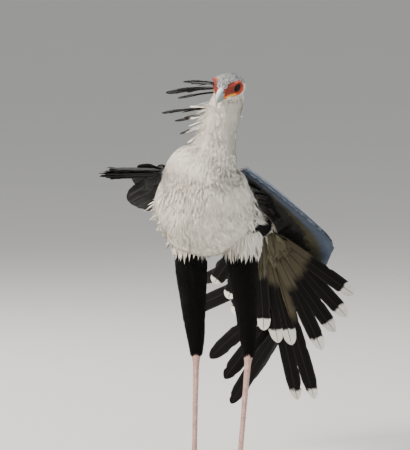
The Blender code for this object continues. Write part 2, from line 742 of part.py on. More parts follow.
def make_foot(side_name, foot, turn):
    """Make the foot from a hub and four toes, flat underneath, with a claw beyond each toe."""
    hub_rows = [(foot.x, foot.y, height, wide, deep) for height, wide, deep in HUB_PROFILE]
    hub = make_object("foot_" + side_name, tube(hub_rows, HUB_RINGS, HUB_SIDES, LEG_SIDE))
    side = -1.0 if side_name == "left" else 1.0
    toes = []
    for toe_name, angle, length, claw_length, thick in TOES:
        heading = turn + math.radians(angle) * side
        ahead = Vector((math.sin(heading), -math.cos(heading), 0))
        across = Vector((-ahead.y, ahead.x, 0))
        rows = toe_rows(TOE_PROFILE, foot, ahead * length, thick)
        toes.append(make_object("toe", tube(rows, TOE_RINGS, TOE_SIDES, across), CUTTERS))
        start = foot + ahead * (length + GAP)
        rows = toe_rows(CLAW_PROFILE, start, ahead * claw_length, thick)
        claw_data = tube(rows, CLAW_RINGS, CLAW_SIDES, across)
        fill_cut(claw_data, start, ahead, True)
        claw = make_object("claw_" + side_name + "_" + toe_name, claw_data)
        claw.data.materials.append(make_material(claw.name, CLAW_BLACK, 0.4))
    boolean(hub, toes, "UNION", "MANIFOLD")
    mesh_data = bmesh.new()
    mesh_data.from_mesh(hub.data)
    fill_cut(mesh_data, Vector((0, 0, 0)), Vector((0, 0, 1)), True)
    fill_cut(mesh_data, Vector((0, 0, FOOT_TOP - GAP)), Vector((0, 0, 1)), False)
    mesh_data.to_mesh(hub.data)
    mesh_data.free()
    hub.data.materials.append(make_material("foot_" + side_name, LEG_PINK, 0.6))


def vane(start, tip, face, width, thick, shape, tilt=0.0, bow=0.0, tip_face=None):
    """Make one feather or lock as a thin closed plate that narrows to its tip.

    It faces the direction face, and turns to tip_face along its length where that is given.
    """
    start = Vector(start)
    run = Vector(tip) - start
    ahead = run.normalized()
    face = Vector(face)
    tip_face = face if tip_face is None else tip_face
    rings = []
    for place, share in shape:
        side = ahead.cross(face.lerp(tip_face, min(place * FACE_TURN, 1.0))).normalized()
        up = side.cross(ahead)
        side, up = side * math.cos(tilt) + up * math.sin(tilt), up * math.cos(tilt) - side * math.sin(tilt)
        middle = start + run * place + up * bow * 4.0 * place * (1.0 - place)
        across = side * width * share / 2
        rise = up * thick * (1.0 - TIP_THINNING * place) / 2
        rings.append([middle - across + rise, middle + across + rise,
                      middle + across - rise, middle - across - rise])
    return make_object("vane", loft(rings, (BACK_SIDE,)), CUTTERS)


def fan_faces(chords):
    """Give the way each feather faces at its tip: square to the fan that its neighbours spread."""
    far = [start + (tip - start).normalized() * FAN_RADIUS for start, tip, normal in chords]
    faces = []
    for index, (start, tip, normal) in enumerate(chords):
        along = far[min(index + 1, len(far) - 1)] - far[max(index - 1, 0)]
        face = (tip - start).cross(along).normalized()
        faces.append(-face if face.dot(normal) < 0.0 else face)
    return faces


def add_flight_feathers(chords, pieces):
    """Lay one flight feather along each line of the wing, each sliding over the next."""
    fans = fan_faces(chords)
    for (start, tip, normal), fan in zip(chords, fans):
        pieces.append(vane(start.lerp(tip, FLIGHT_START), tip, normal, FLIGHT_WIDTH, FLIGHT_THICK,
                           FLIGHT_SHAPE, FLIGHT_TILT, 0.0, fan))


def add_coverts(chords, rows, pieces):
    """Lay rows of coverts over and under the wing, one or two flight feathers apart."""
    for every, begin, end, low, high, width in rows:
        for start, tip, normal in chords[::every]:
            begin_place = start.lerp(tip, begin) + normal * low
            end_place = start.lerp(tip, end) + normal * high
            pieces.append(vane(begin_place, end_place, normal, width, COVERT_THICK, COVERT_SHAPE,
                               COVERT_TILT))


def wing_chords(bones, tips, starts):
    """Pair each feather's start on the bones with its tip and the wing's normal there."""
    chords = []
    last = len(tips) - 1
    for index, tip in enumerate(tips):
        place = starts[0] + (starts[1] - starts[0]) * index / last
        start = Vector(spline(bones, place))
        along = Vector(spline(bones, place + 0.03)) - Vector(spline(bones, place - 0.03))
        normal = (Vector(tip) - start).cross(along).normalized()
        if chords and normal.dot(chords[-1][2]) < 0.0:
            normal = -normal
        chords.append((start, Vector(tip), normal))
    return chords


def feather_bed(chords, reach, half_thick):
    """Loft the flesh of a wing or tail, thick at the bones and thin along the feathers."""
    rings = []
    for start, tip, normal in chords:
        run = (tip - start) * reach
        ahead = run.normalized()
        ring = [start - ahead * half_thick]
        for part, thick in BED_PROFILE:
            ring.append(start + run * part + normal * max(half_thick * thick, EDGE_HALF_THICK))
        ring.append(start + run + normal * EDGE_HALF_THICK)
        ring.append(start + run - normal * EDGE_HALF_THICK)
        for part, thick in reversed(BED_PROFILE):
            ring.append(start + run * part - normal * max(half_thick * thick, EDGE_HALF_THICK))
        rings.append(ring)
    return loft(rings)


def make_wing(side_name, bones, tips, starts, coverts, hand_feathers, torso_room):
    chords = wing_chords(bones, tips, starts)
    wing = make_object("wing_" + side_name, feather_bed(chords, WING_REACH, WING_HALF_THICK))
    pieces = []
    add_flight_feathers(chords, pieces)
    add_coverts(chords, coverts, pieces)
    for start, tip in hand_feathers:
        pieces.append(vane(start, tip, HAND_FACE, FLIGHT_WIDTH, FLIGHT_THICK, FLIGHT_SHAPE))
    boolean(wing, pieces, "UNION", "MANIFOLD")
    boolean(wing, [torso_room], "DIFFERENCE", "MANIFOLD")
    colour = GREY_FEATHER if side_name == "left" else BLACK_FEATHER
    wing.data.materials.append(make_material("wing_" + side_name, colour, 0.7))


def tail_chords():
    chords = []
    last = len(TAIL_TIPS) - 1
    for index, tip in enumerate(TAIL_TIPS):
        start = TAIL_ROOT + LEFT * TAIL_ROOT_HALF * (2 * index / last - 1)
        normal = (Vector(tip) - start).cross(LEFT).normalized()
        if normal.y > 0.0:
            normal = -normal
        lift = normal * TAIL_STEP * TAIL_ORDER[index]
        chords.append((start + lift, Vector(tip) + lift, normal))
    return chords


def make_tail(tail):
    """Join the tail's flesh, its twelve feathers and the plumes below them to the trunk's end."""
    chords = tail_chords()
    pieces = [make_object("tail_flesh", feather_bed(chords, TAIL_REACH, TAIL_HALF_THICK), CUTTERS)]
    for start, tip, normal in chords:
        pieces.append(vane(start.lerp(tip, TAIL_START), tip, normal, TAIL_WIDTH, FLIGHT_THICK, FLIGHT_SHAPE))
    for start, tip, width in VENT_PLUMES:
        pieces.append(vane(start, tip, (0, -1, 0), width, LOCK_THICK, PLUME_SHAPE, 0.0, PLUME_BOW))
    boolean(tail, pieces, "UNION", "MANIFOLD")


def add_plumes(target, plumes):
    """Root the plumes of the crest or the nape in a node."""
    pieces = [vane(start, tip, CREST_FACE, width, LOCK_THICK, PLUME_SHAPE, 0.0, PLUME_BOW)
              for start, tip, width in plumes]
    boolean(target, pieces, "UNION", "MANIFOLD")


def add_frills(torso):
    """Hang white locks from the belly in front of and beside each thigh, clear of it."""
    pieces = []
    for thigh_rows in (LEFT_THIGH, RIGHT_THIGH):
        middle = Vector(thigh_rows[1][:3])
        half_wide, half_deep = thigh_rows[1][3:]
        for index in range(FRILL_COUNT):
            angle = FRILL_SWEEP * (2 * index / (FRILL_COUNT - 1) - 1)
            outward = Vector((math.sin(angle), -math.cos(angle), 0))
            reach_wide = (half_wide + FRILL_CLEAR) * outward.x
            reach_deep = (half_deep + FRILL_CLEAR) * outward.y
            at = Vector((middle.x + reach_wide, middle.y + reach_deep, 0))
            end = FRILL_END + random.uniform(-FRILL_UNEVEN, FRILL_UNEVEN)
            top = at - outward * FRILL_ROOT_IN + Vector((0, 0, FRILL_TOP))
            tip = at + outward * FRILL_TIP_OUT + Vector((0, 0, end))
            pieces.append(vane(top, tip, outward, FRILL_WIDTH, LOCK_THICK, LOCK_SHAPE))
    for start, tip, width in FLANK_LOCKS:
        pieces.append(vane(start, tip, (start[0], 0, FLANK_RISE), width, LOCK_THICK, LOCK_SHAPE))
    boolean(torso, pieces, "UNION", "MANIFOLD")


def cut_mouth_line(head):
    """Carry the line between the bill's halves back into the face on both sides."""
    cutters = []
    for side in (1, -1):
        mesh_data = bmesh.new()
        bmesh.ops.create_cube(mesh_data, size=1.0)
        bmesh.ops.scale(mesh_data, verts=mesh_data.verts, vec=MOUTH_SIZE)
        bmesh.ops.rotate(mesh_data, verts=mesh_data.verts,
                         matrix=Euler((MOUTH_RISE, 0, -side * MOUTH_SPREAD)).to_matrix())
        bmesh.ops.translate(mesh_data, verts=mesh_data.verts, vec=(side * MOUTH.x, MOUTH.y, MOUTH.z))
        bmesh.ops.rotate(mesh_data, verts=mesh_data.verts, matrix=HEAD_TURN.to_matrix())
        bmesh.ops.translate(mesh_data, verts=mesh_data.verts, vec=EYE_MIDDLE)
        cutters.append(make_object("mouth", mesh_data, CUTTERS))
    boolean(head, cutters, "DIFFERENCE", "MANIFOLD")


def settle_on_ground():
    """Hang every piece on one empty, so that the box's lowest middle point is the origin."""
    empty = bpy.data.objects.new("standing_place", None)
    make_collection(COLLECTION).objects.link(empty)
    bpy.context.view_layer.update()
    corners = []
    for thing in make_collection(COLLECTION).objects:
        if thing.type == "MESH":
            corners += [vert.co for vert in thing.data.vertices]
            thing.parent = empty
            thing.data.shade_smooth()
            thing.data.set_sharp_from_angle(angle=SHARP_ANGLE)
    low = [min(corner[axis] for corner in corners) for axis in range(3)]
    high = [max(corner[axis] for corner in corners) for axis in range(3)]
    empty.location = (-(low[0] + high[0]) / 2, -(low[1] + high[1]) / 2, -low[2])


def main():
    random.seed(7)
    clear_scene()
    whole = trunk()
    head = part_of_trunk("head", whole, None, HEAD_CUT)
    neck = part_of_trunk("neck", whole, HEAD_CUT, NECK_CUT)
    torso = part_of_trunk("torso", whole, NECK_CUT, TAIL_CUT)
    tail = part_of_trunk("tail", whole, TAIL_CUT)
    bpy.data.objects.remove(whole, do_unlink=True)
    make_eyes_and_lids(head)
    make_bill(head)
    cut_mouth_line(head)
    add_plumes(head, CREST_PLUMES)
    add_plumes(neck, NAPE_PLUMES)
    add_frills(torso)
    make_tail(tail)

    make_leg("left", LEFT_THIGH, LEFT_FOOT, LEFT_FOOT_TURN, trunk(GAP))
    make_leg("right", RIGHT_THIGH, RIGHT_FOOT, RIGHT_FOOT_TURN, trunk(GAP))
    make_wing("left", LEFT_WING_BONES, LEFT_WING_TIPS, LEFT_WING_STARTS, LEFT_COVERTS, [], trunk(GAP))
    make_wing("right", RIGHT_WING_BONES, RIGHT_WING_TIPS, RIGHT_WING_STARTS, RIGHT_COVERTS,
              RIGHT_HAND_FEATHERS, trunk(GAP))

    head.data.materials.append(make_material("head", WHITE_FEATHER, 0.8))
    neck.data.materials.append(make_material("neck", WHITE_FEATHER, 0.8))
    torso.data.materials.append(make_material("torso", WHITE_FEATHER, 0.8))
    tail.data.materials.append(make_material("tail", GREY_FEATHER, 0.8))
    settle_on_ground()


main()
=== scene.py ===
import math

import bmesh
import bpy
import numpy as np
from bpy.props import FloatProperty, FloatVectorProperty, IntProperty, PointerProperty
from mathutils import Euler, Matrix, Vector


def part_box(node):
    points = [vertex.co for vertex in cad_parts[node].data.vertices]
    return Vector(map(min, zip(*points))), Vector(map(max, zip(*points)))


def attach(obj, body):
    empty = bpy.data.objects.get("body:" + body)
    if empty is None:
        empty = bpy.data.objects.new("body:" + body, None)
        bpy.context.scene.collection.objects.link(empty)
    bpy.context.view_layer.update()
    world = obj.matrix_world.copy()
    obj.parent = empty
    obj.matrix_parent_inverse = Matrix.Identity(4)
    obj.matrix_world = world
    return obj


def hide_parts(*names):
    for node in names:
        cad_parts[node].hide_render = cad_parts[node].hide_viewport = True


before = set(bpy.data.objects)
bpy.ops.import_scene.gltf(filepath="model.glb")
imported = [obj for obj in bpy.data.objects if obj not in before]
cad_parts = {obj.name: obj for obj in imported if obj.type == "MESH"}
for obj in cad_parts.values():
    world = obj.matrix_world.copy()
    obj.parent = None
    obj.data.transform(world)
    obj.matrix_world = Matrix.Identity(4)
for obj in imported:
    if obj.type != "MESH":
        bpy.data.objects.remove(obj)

bl_info = {
    "name": "Secretary bird",
    "version": (1, 0, 0),
    "blender": (4, 5, 0),
    "location": "3D View > Sidebar > Secretary bird",
    "description": "Dresses the frame of a standing secretary bird with skin, feathers, bill, eyes and legs",
    "category": "Add Mesh",
}

# Places shared with the solids, in metres
# Body line from the tail root to the nape: x, y, z, half width, half depth
SPINE = [
    (0.121, 0.303, 0.484, 0.028, 0.006),
    (0.115, 0.303, 0.518, 0.032, 0.013),
    (0.105, 0.283, 0.549, 0.033, 0.023),
    (0.079, 0.232, 0.568, 0.040, 0.038),
    (0.036, 0.165, 0.584, 0.062, 0.066),
    (-0.012, 0.092, 0.598, 0.104, 0.092),
    (-0.023, 0.025, 0.622, 0.110, 0.102),
    (-0.023, -0.022, 0.664, 0.097, 0.090),
    (-0.022, -0.045, 0.705, 0.084, 0.070),
    (-0.007, -0.053, 0.740, 0.057, 0.052),
    (0.003, -0.055, 0.775, 0.0425, 0.0425),
    (0.010, -0.056, 0.808, 0.0375, 0.038),
    (0.019, -0.054, 0.838, 0.0365, 0.037),
    (0.029, -0.050, 0.862, 0.0335, 0.034),
    (0.034, -0.048, 0.880, 0.022, 0.024),
]

# Direction of the bird's left side in the trunk
LEFT = Vector((0.952, -0.306, 0.0))

# Head: the middle between the eyes and how the head is turned from facing -Y
EYE_MIDDLE = Vector((0.0253, -0.075, 0.8945))
HEAD_TURN = Euler((math.radians(15.0), math.radians(8.0), math.radians(-17.0)), "XYZ")

# Head sections: forward, height, half width, half height
HEAD_SECTIONS = [
    (-0.0500, -0.0110, 0.0100, 0.0080),
    (-0.0450, -0.0105, 0.0220, 0.0165),
    (-0.0320, -0.0095, 0.0330, 0.0250),
    (-0.0130, -0.0065, 0.0352, 0.0272),
    (0.0060, -0.0040, 0.0310, 0.0262),
    (0.0200, -0.0050, 0.0250, 0.0230),
    (0.0310, -0.0065, 0.0185, 0.0185),
    (0.0400, -0.0080, 0.0140, 0.0150),
]

# Eyes
EYE_RADIUS = 0.0096
EYE_OUT = 0.0222
EYE_FORWARD = 0.0020
EYE_LOOK = 0.72

# Brow ridge over each eye: forward, out, height, half thickness
BROW = [
    (-0.0150, 0.0275, 0.0060, 0.0030),
    (-0.0040, 0.0285, 0.0100, 0.0038),
    (0.0080, 0.0265, 0.0105, 0.0040),
    (0.0180, 0.0215, 0.0075, 0.0034),
    (0.0270, 0.0160, 0.0030, 0.0026),
]

# Bill, from where it leaves the face: forward, height, half width, half height
BILL_START = 0.0340
UPPER_BILL = [
    (0.0300, -0.0035, 0.0120, 0.0108),
    (0.0400, -0.0044, 0.0108, 0.0104),
    (0.0510, -0.0062, 0.0086, 0.0091),
    (0.0605, -0.0098, 0.0063, 0.0071),
    (0.0667, -0.0152, 0.0042, 0.0050),
    (0.0692, -0.0212, 0.0026, 0.0031),
    (0.0688, -0.0268, 0.0009, 0.0010),
]
LOWER_BILL = [
    (0.0300, -0.0168, 0.0105, 0.0066),
    (0.0400, -0.0170, 0.0092, 0.0060),
    (0.0500, -0.0174, 0.0070, 0.0049),
    (0.0575, -0.0182, 0.0045, 0.0033),
    (0.0620, -0.0194, 0.0018, 0.0014),
]

NOSTRIL = Vector((0.0100, -0.0435, -0.0015))

# Left leg: x, y, z, half width, half depth, from inside the belly to the ankle
LEFT_THIGH = [
    (0.056, 0.050, 0.580, 0.030, 0.050),
    (0.060, 0.054, 0.520, 0.032, 0.050),
    (0.064, 0.062, 0.470, 0.0305, 0.043),
    (0.067, 0.072, 0.420, 0.0260, 0.034),
    (0.071, 0.082, 0.365, 0.0210, 0.025),
    (0.0745, 0.091, 0.315, 0.0170, 0.018),
    (0.0755, 0.095, 0.287, 0.0130, 0.014),
]
RIGHT_THIGH = [
    (-0.052, 0.080, 0.580, 0.030, 0.050),
    (-0.053, 0.082, 0.520, 0.034, 0.050),
    (-0.052, 0.086, 0.470, 0.0330, 0.043),
    (-0.049, 0.092, 0.420, 0.0280, 0.034),
    (-0.046, 0.099, 0.365, 0.0230, 0.025),
    (-0.042, 0.106, 0.315, 0.0175, 0.018),
    (-0.0415, 0.110, 0.287, 0.0130, 0.014),
]

# Shank, as fractions from the ankle to the foot, with half width and half depth
SHANK_PROFILE = [
    (0.00, 0.0100, 0.0120),
    (0.05, 0.0105, 0.0130),
    (0.13, 0.0078, 0.0100),
    (0.45, 0.0066, 0.0080),
    (0.80, 0.0066, 0.0076),
    (0.93, 0.0084, 0.0092),
    (1.00, 0.0092, 0.0100),
]

# Feet: the middle of each foot on the ground and the way its middle toe points
LEFT_FOOT = Vector((0.0530, 0.078, 0.0))
RIGHT_FOOT = Vector((-0.0465, 0.098, 0.0))
LEFT_FOOT_TURN = math.radians(-6.0)
RIGHT_FOOT_TURN = math.radians(-24.0)
FOOT_TOP = 0.026

# Toes: name, angle from the middle toe, toe length, claw length, thickness
TOES = [
    ("inner", 30.0, 0.052, 0.021, 0.0074),
    ("middle", 0.0, 0.072, 0.020, 0.0078),
    ("outer", -31.0, 0.050, 0.017, 0.0070),
    ("hind", 180.0, 0.026, 0.021, 0.0068),
]

# Left wing: the bones' line from the shoulder to the end of the hand, with the flight feathers' tips
LEFT_WING_BONES = [
    (0.040, 0.008, 0.720),
    (0.078, 0.045, 0.693),
    (0.118, 0.086, 0.661),
    (0.160, 0.125, 0.624),
    (0.205, 0.172, 0.582),
    (0.238, 0.212, 0.548),
    (0.254, 0.245, 0.522),
    (0.256, 0.290, 0.497),
    (0.252, 0.335, 0.474),
    (0.244, 0.368, 0.456),
]
LEFT_WING_TIPS = [
    (0.050, 0.352, 0.652),
    (0.074, 0.388, 0.637),
    (0.092, 0.418, 0.619),
    (0.109, 0.447, 0.599),
    (0.113, 0.467, 0.578),
    (0.113, 0.484, 0.556),
    (0.106, 0.499, 0.534),
    (0.090, 0.512, 0.513),
    (0.067, 0.521, 0.492),
    (0.037, 0.528, 0.470),
    (0.003, 0.531, 0.444),
    (-0.034, 0.528, 0.408),
    (-0.068, 0.515, 0.334),
    (-0.010, 0.522, 0.225),
    (0.024, 0.530, 0.176),
    (0.040, 0.538, 0.116),
    (0.092, 0.526, 0.174),
]
# Where along the bones each feather starts, from 0 at the shoulder to 1 at the end of the hand
LEFT_WING_STARTS = (0.08, 0.985)

# Right wing
RIGHT_WING_BONES = [
    (-0.060, 0.000, 0.712),
    (-0.090, 0.030, 0.706),
    (-0.104, 0.062, 0.697),
    (-0.110, 0.095, 0.684),
    (-0.107, 0.127, 0.666),
    (-0.096, 0.156, 0.645),
    (-0.080, 0.180, 0.624),
]
RIGHT_WING_TIPS = [
    (-0.174, 0.330, 0.675),
    (-0.189, 0.400, 0.651),
    (-0.185, 0.392, 0.638),
    (-0.202, 0.386, 0.616),
    (-0.194, 0.380, 0.600),
    (-0.176, 0.372, 0.590),
    (-0.156, 0.364, 0.584),
    (-0.132, 0.354, 0.578),
]
# Long feathers of the right hand, closed like a fan one over the other: start and tip
RIGHT_HAND_FEATHERS = [
    ((-0.104, 0.066, 0.6900), (-0.256, 0.480, 0.6500)),
    ((-0.105, 0.068, 0.6925), (-0.266, 0.498, 0.6545)),
    ((-0.105, 0.070, 0.6950), (-0.268, 0.500, 0.6590)),
    ((-0.105, 0.072, 0.6975), (-0.264, 0.494, 0.6635)),
    ((-0.104, 0.074, 0.7000), (-0.249, 0.470, 0.6770)),
]
HAND_FACE = (0.15, -0.38, 0.92)
RIGHT_WING_STARTS = (0.10, 0.98)


# Long soft feathers under the tail root: start, end, width
VENT_PLUMES = [
    ((0.106, 0.268, 0.545), (0.109, 0.245, 0.418), 0.026),
    ((0.090, 0.262, 0.545), (0.078, 0.262, 0.438), 0.024),
    ((0.122, 0.262, 0.548), (0.137, 0.235, 0.452), 0.022),
]

# Crest plumes on the back of the head: start, end, width
CREST_PLUMES = [
    ((0.024, -0.040, 0.893), (-0.070, 0.020, 0.898), 0.010),
    ((0.022, -0.038, 0.886), (-0.108, 0.030, 0.874), 0.015),
    ((0.024, -0.034, 0.878), (-0.082, 0.046, 0.861), 0.012),
    ((0.034, -0.036, 0.902), (0.042, 0.004, 0.917), 0.012),
    ((0.036, -0.036, 0.900), (0.020, 0.062, 0.905), 0.014),
    ((0.036, -0.036, 0.890), (-0.010, 0.078, 0.878), 0.015),
    ((0.038, -0.036, 0.882), (0.032, 0.070, 0.868), 0.014),
]

# Plumes of the nape, blown to the bird's right: start, end, width
NAPE_PLUMES = [
    ((0.008, -0.046, 0.843), (-0.117, 0.030, 0.829), 0.012),
    ((0.010, -0.060, 0.842), (-0.055, 0.000, 0.845), 0.008),
    ((0.006, -0.040, 0.828), (-0.088, 0.024, 0.812), 0.011),
    ((0.004, -0.060, 0.822), (-0.057, 0.000, 0.802), 0.010),
    ((0.002, -0.045, 0.808), (-0.077, 0.020, 0.784), 0.012),
    ((0.000, -0.055, 0.796), (-0.060, 0.002, 0.766), 0.012),
    ((0.000, -0.042, 0.786), (-0.066, 0.024, 0.750), 0.014),
    ((0.014, -0.034, 0.836), (-0.030, 0.066, 0.822), 0.014),
    ((0.018, -0.034, 0.826), (0.020, 0.060, 0.806), 0.016),
    ((0.008, -0.034, 0.806), (-0.020, 0.052, 0.772), 0.018),
    ((0.028, -0.060, 0.838), (0.060, -0.022, 0.824), 0.012),
]

# Loose locks of the flanks: start, end, width
FLANK_LOCKS = [
    ((-0.098, 0.045, 0.640), (-0.152, 0.086, 0.612), 0.020),
    ((-0.098, 0.055, 0.622), (-0.143, 0.100, 0.592), 0.022),
    ((-0.094, 0.050, 0.600), (-0.128, 0.112, 0.566), 0.024),
    ((-0.084, 0.060, 0.578), (-0.104, 0.124, 0.540), 0.026),
    ((0.074, 0.006, 0.618), (0.104, 0.052, 0.588), 0.026),
    ((0.074, 0.020, 0.630), (0.098, 0.074, 0.592), 0.024),
]

# Tail: the middle of the row of roots, the row's half length and the feather tips from right to left
TAIL_ROOT = Vector((0.106, 0.290, 0.549))
TAIL_ROOT_HALF = 0.022
TAIL_HALF_THICK = 0.0065
TAIL_START = 0.04
TAIL_TIPS = [
    (0.001, 0.345, 0.421),
    (0.033, 0.343, 0.386),
    (0.051, 0.347, 0.345),
    (0.114, 0.337, 0.313),
    (0.146, 0.336, 0.284),
    (0.190, 0.354, 0.150),
    (0.177, 0.327, 0.280),
    (0.229, 0.344, 0.153),
    (0.246, 0.303, 0.272),
    (0.275, 0.286, 0.316),
    (0.302, 0.270, 0.354),
    (0.318, 0.255, 0.407),
]
CREST_FACE = (0.2, -0.62, 0.78)
EYE_MIDDLE_NODE = "eye_left"


def linear(text):
    """Turn an sRGB hex colour into the linear RGBA that shaders use."""
    channels = [int(text[place:place + 2], 16) / 255.0 for place in (1, 3, 5)]
    return tuple(c / 12.92 if c <= 0.04045 else ((c + 0.055) / 1.055) ** 2.4 for c in channels) + (1.0,)


def to_world(out, forward, height):
    """Give the place, before the shift, of a point told from the middle between the eyes."""
    return EYE_MIDDLE + HEAD_TURN.to_matrix() @ Vector((out, -forward, height))


def find_shift():
    """Find how far the frame's origin lies from the tables' origin, from the left eye."""
    low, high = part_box(EYE_MIDDLE_NODE)
    return (Vector(low) + Vector(high)) / 2 - to_world(EYE_OUT, EYE_FORWARD, 0.0)


SHIFT = find_shift()
MOVE = np.array(SHIFT)
HEAD_MATRIX = np.array(HEAD_TURN.to_matrix())


# Settings

class PlumageSettings(bpy.types.PropertyGroup):
    seed: IntProperty(name="Seed", description="Start of every random draw", default=11, min=0)
    spacing: FloatProperty(name="Feather spacing", description="Distance between body feather roots",
                           default=0.0042, min=0.002, max=0.02, subtype="DISTANCE", unit="LENGTH")
    depth: FloatProperty(name="Coat depth", description="How deep the skin lies under the coat",
                         default=0.0045, min=0.001, max=0.02, subtype="DISTANCE", unit="LENGTH")
    white: FloatVectorProperty(name="White", description="Creamy white of neck and belly", size=4,
                               subtype="COLOR", default=linear("#F2E9DA"), min=0, max=1)
    grey: FloatVectorProperty(name="Grey", description="Blue-grey of back and wing coverts", size=4,
                              subtype="COLOR", default=linear("#7A8494"), min=0, max=1)
    black: FloatVectorProperty(name="Black", description="Brown-black of thighs and flight feathers", size=4,
                               subtype="COLOR", default=linear("#0B0A0A"), min=0, max=1)


class FlightSettings(bpy.types.PropertyGroup):
    vane_thick: FloatProperty(name="Vane thickness", description="Thickness of a flight feather at its shaft",
                              default=0.0011, min=0.0002, max=0.004, subtype="DISTANCE", unit="LENGTH")
    wing_width: FloatProperty(name="Wing feather width", description="Full width of a flight feather",
                              default=0.038, min=0.01, max=0.08, subtype="DISTANCE", unit="LENGTH")
    tail_width: FloatProperty(name="Tail feather width", description="Full width of a tail feather",
                              default=0.037, min=0.01, max=0.08, subtype="DISTANCE", unit="LENGTH")
    # Painted shade: the tail base is the feathers' grey-beige darkened to dark olive, for the shade the tail lies in
    tail_base_shaded: FloatVectorProperty(name="Tail base", description="Pale grey-beige of the tail bases", size=4,
                                   subtype="COLOR", default=linear("#575040"), min=0, max=1)
    shaft: FloatVectorProperty(name="Shaft", description="Brown of the feather shafts", size=4,
                               subtype="COLOR", default=linear("#2A211B"), min=0, max=1)


class HeadSettings(bpy.types.PropertyGroup):
    face: FloatVectorProperty(name="Face skin", description="Orange of the bare face", size=4,
                              subtype="COLOR", default=linear("#D8480D"), min=0, max=1)
    gape: FloatVectorProperty(name="Gape skin", description="Yellow at the bill's corner", size=4,
                              subtype="COLOR", default=linear("#D9A62E"), min=0, max=1)
    bill: FloatVectorProperty(name="Bill", description="Pale blue-grey horn", size=4,
                              subtype="COLOR", default=linear("#93A2AA"), min=0, max=1)
    iris: FloatVectorProperty(name="Iris", description="Dark brown of the eye", size=4,
                              subtype="COLOR", default=linear("#1C0E07"), min=0, max=1)
    lash: FloatProperty(name="Lash length", description="Length of the longest eyelash", default=0.0085,
                        min=0.001, max=0.02, subtype="DISTANCE", unit="LENGTH")


class LegSettings(bpy.types.PropertyGroup):
    skin: FloatVectorProperty(name="Leg skin", description="Dull pink of the shanks", size=4,
                              subtype="COLOR", default=linear("#BC9A90"), min=0, max=1)
    claw: FloatVectorProperty(name="Claw", description="Dark horn of the claws", size=4,
                              subtype="COLOR", default=linear("#2B2623"), min=0, max=1)
    scute: FloatProperty(name="Scute height", description="Height of one plate on the shank", default=0.0062,
                         min=0.002, max=0.02, subtype="DISTANCE", unit="LENGTH")


class StageSettings(bpy.types.PropertyGroup):
    distance: FloatProperty(name="Camera distance", description="How far the camera stands", default=9.0,
                            min=2.0, max=30.0, subtype="DISTANCE", unit="LENGTH")
    elevation: FloatProperty(name="Camera elevation", description="How far the camera looks down",
                             default=math.radians(5.0), subtype="ANGLE", unit="ROTATION")
    floor: FloatVectorProperty(name="Floor", description="Plain pale floor", size=4, subtype="COLOR",
                               default=linear("#D6D5D1"), min=0, max=1)


# Shared tools

def smooth(low, high, value):
    """Rise from 0 at low to 1 at high without a corner."""
    part = np.clip((value - low) / (high - low), 0.0, 1.0)
    return part * part * (3.0 - 2.0 * part)


def curve(rows, places):
    """Read a smooth curve through rows of numbers at an array of places from 0 to 1."""
    rows = np.asarray(rows, float)
    places = np.asarray(places, float)
    spans = len(rows) - 1
    at = np.clip(places, 0.0, 1.0) * spans
    low = np.minimum(at.astype(int), spans - 1)
    part = (at - low)[..., None]
    before = rows[np.clip(low - 1, 0, spans)]
    start = rows[low]
    end = rows[low + 1]
    after = rows[np.clip(low + 2, 0, spans)]
    bend = 2 * before - 5 * start + 4 * end - after
    twist = 3 * start - before - 3 * end + after
    return start + 0.5 * part * (end - before + part * (bend + part * twist))


def unit(values):
    return values / np.maximum(np.linalg.norm(values, axis=-1, keepdims=True), 1e-12)


def tube_surface(rows, hint, in_head=False):
    """Give a function that reads a round limb's surface at a place along it and a turn round it."""
    count = 240
    places = np.linspace(0.0, 1.0, count)
    values = curve(rows, places)
    along = unit(curve(rows, places + 0.02)[:, :3] - curve(rows, places - 0.02)[:, :3])
    hint = np.asarray(hint, float)
    side = unit(hint - along * (along @ hint)[:, None])
    table = np.concatenate((values, side, np.cross(side, along)), axis=1)

    def surface(place, turn):
        at = np.clip(place, 0.0, 1.0) * (count - 1)
        low = np.minimum(at.astype(int), count - 2)
        part = (at - low)[..., None]
        row = table[low] * (1.0 - part) + table[low + 1] * part
        angle = (turn * math.tau)[..., None]
        point = row[..., :3] + row[..., 5:8] * row[..., 3:4] * np.cos(angle)
        point = point + row[..., 8:11] * row[..., 4:5] * np.sin(angle)
        if in_head:
            point = point @ HEAD_MATRIX.T + np.array(EYE_MIDDLE)
        return point + MOVE

    return surface


def read_surface(surface, place, turn):
    """Give points, outward normals and the direction of growing place, on a surface."""
    step = 0.004
    near = np.clip(place, step, 1.0 - step)
    along = surface(near + step, turn) - surface(near - step, turn)
    around = surface(near, turn + step) - surface(near, turn - step)
    normal = unit(np.cross(along, around)) * getattr(surface, "outward", 1.0)
    point = surface(place, turn)
    over = (place - np.clip(place, 0.0, 1.0))[..., None]
    return point + along * over / (2 * step), normal, unit(along)


def strew(surface, spacing, draw, first=0.0, last=1.0, start=0.0, end=1.0):
    """Spread roots over a surface in rows, each row shifted, with a little disorder."""
    places = np.linspace(first, last, 160)
    line = surface(places, np.full(160, (start + end) / 2 + 0.13))
    steps = np.linalg.norm(np.diff(line, axis=0), axis=1)
    length = np.concatenate(([0.0], np.cumsum(steps)))
    count = max(int(length[-1] / (spacing * 0.87)), 2)
    row_places = np.interp(np.linspace(0.0, length[-1], count), length, places)
    found = []
    for index, place in enumerate(row_places):
        turns = np.linspace(start, end, 60)
        ring = surface(np.full(60, place), turns)
        around = np.linalg.norm(np.diff(ring, axis=0), axis=1).sum()
        number = max(int(around / spacing), 3)
        turn = start + (np.arange(number) + 0.5 * (index % 2)) / number * (end - start)
        turn = turn + draw.uniform(-0.3, 0.3, number) / number * (end - start)
        gap = (last - first) / count
        found.append(np.stack((place + draw.uniform(-0.35, 0.35, number) * gap, turn), axis=1))
    found = np.concatenate(found)
    found[:, 0] = np.clip(found[:, 0], min(first, last), max(first, last))
    return found[:, 0], found[:, 1]


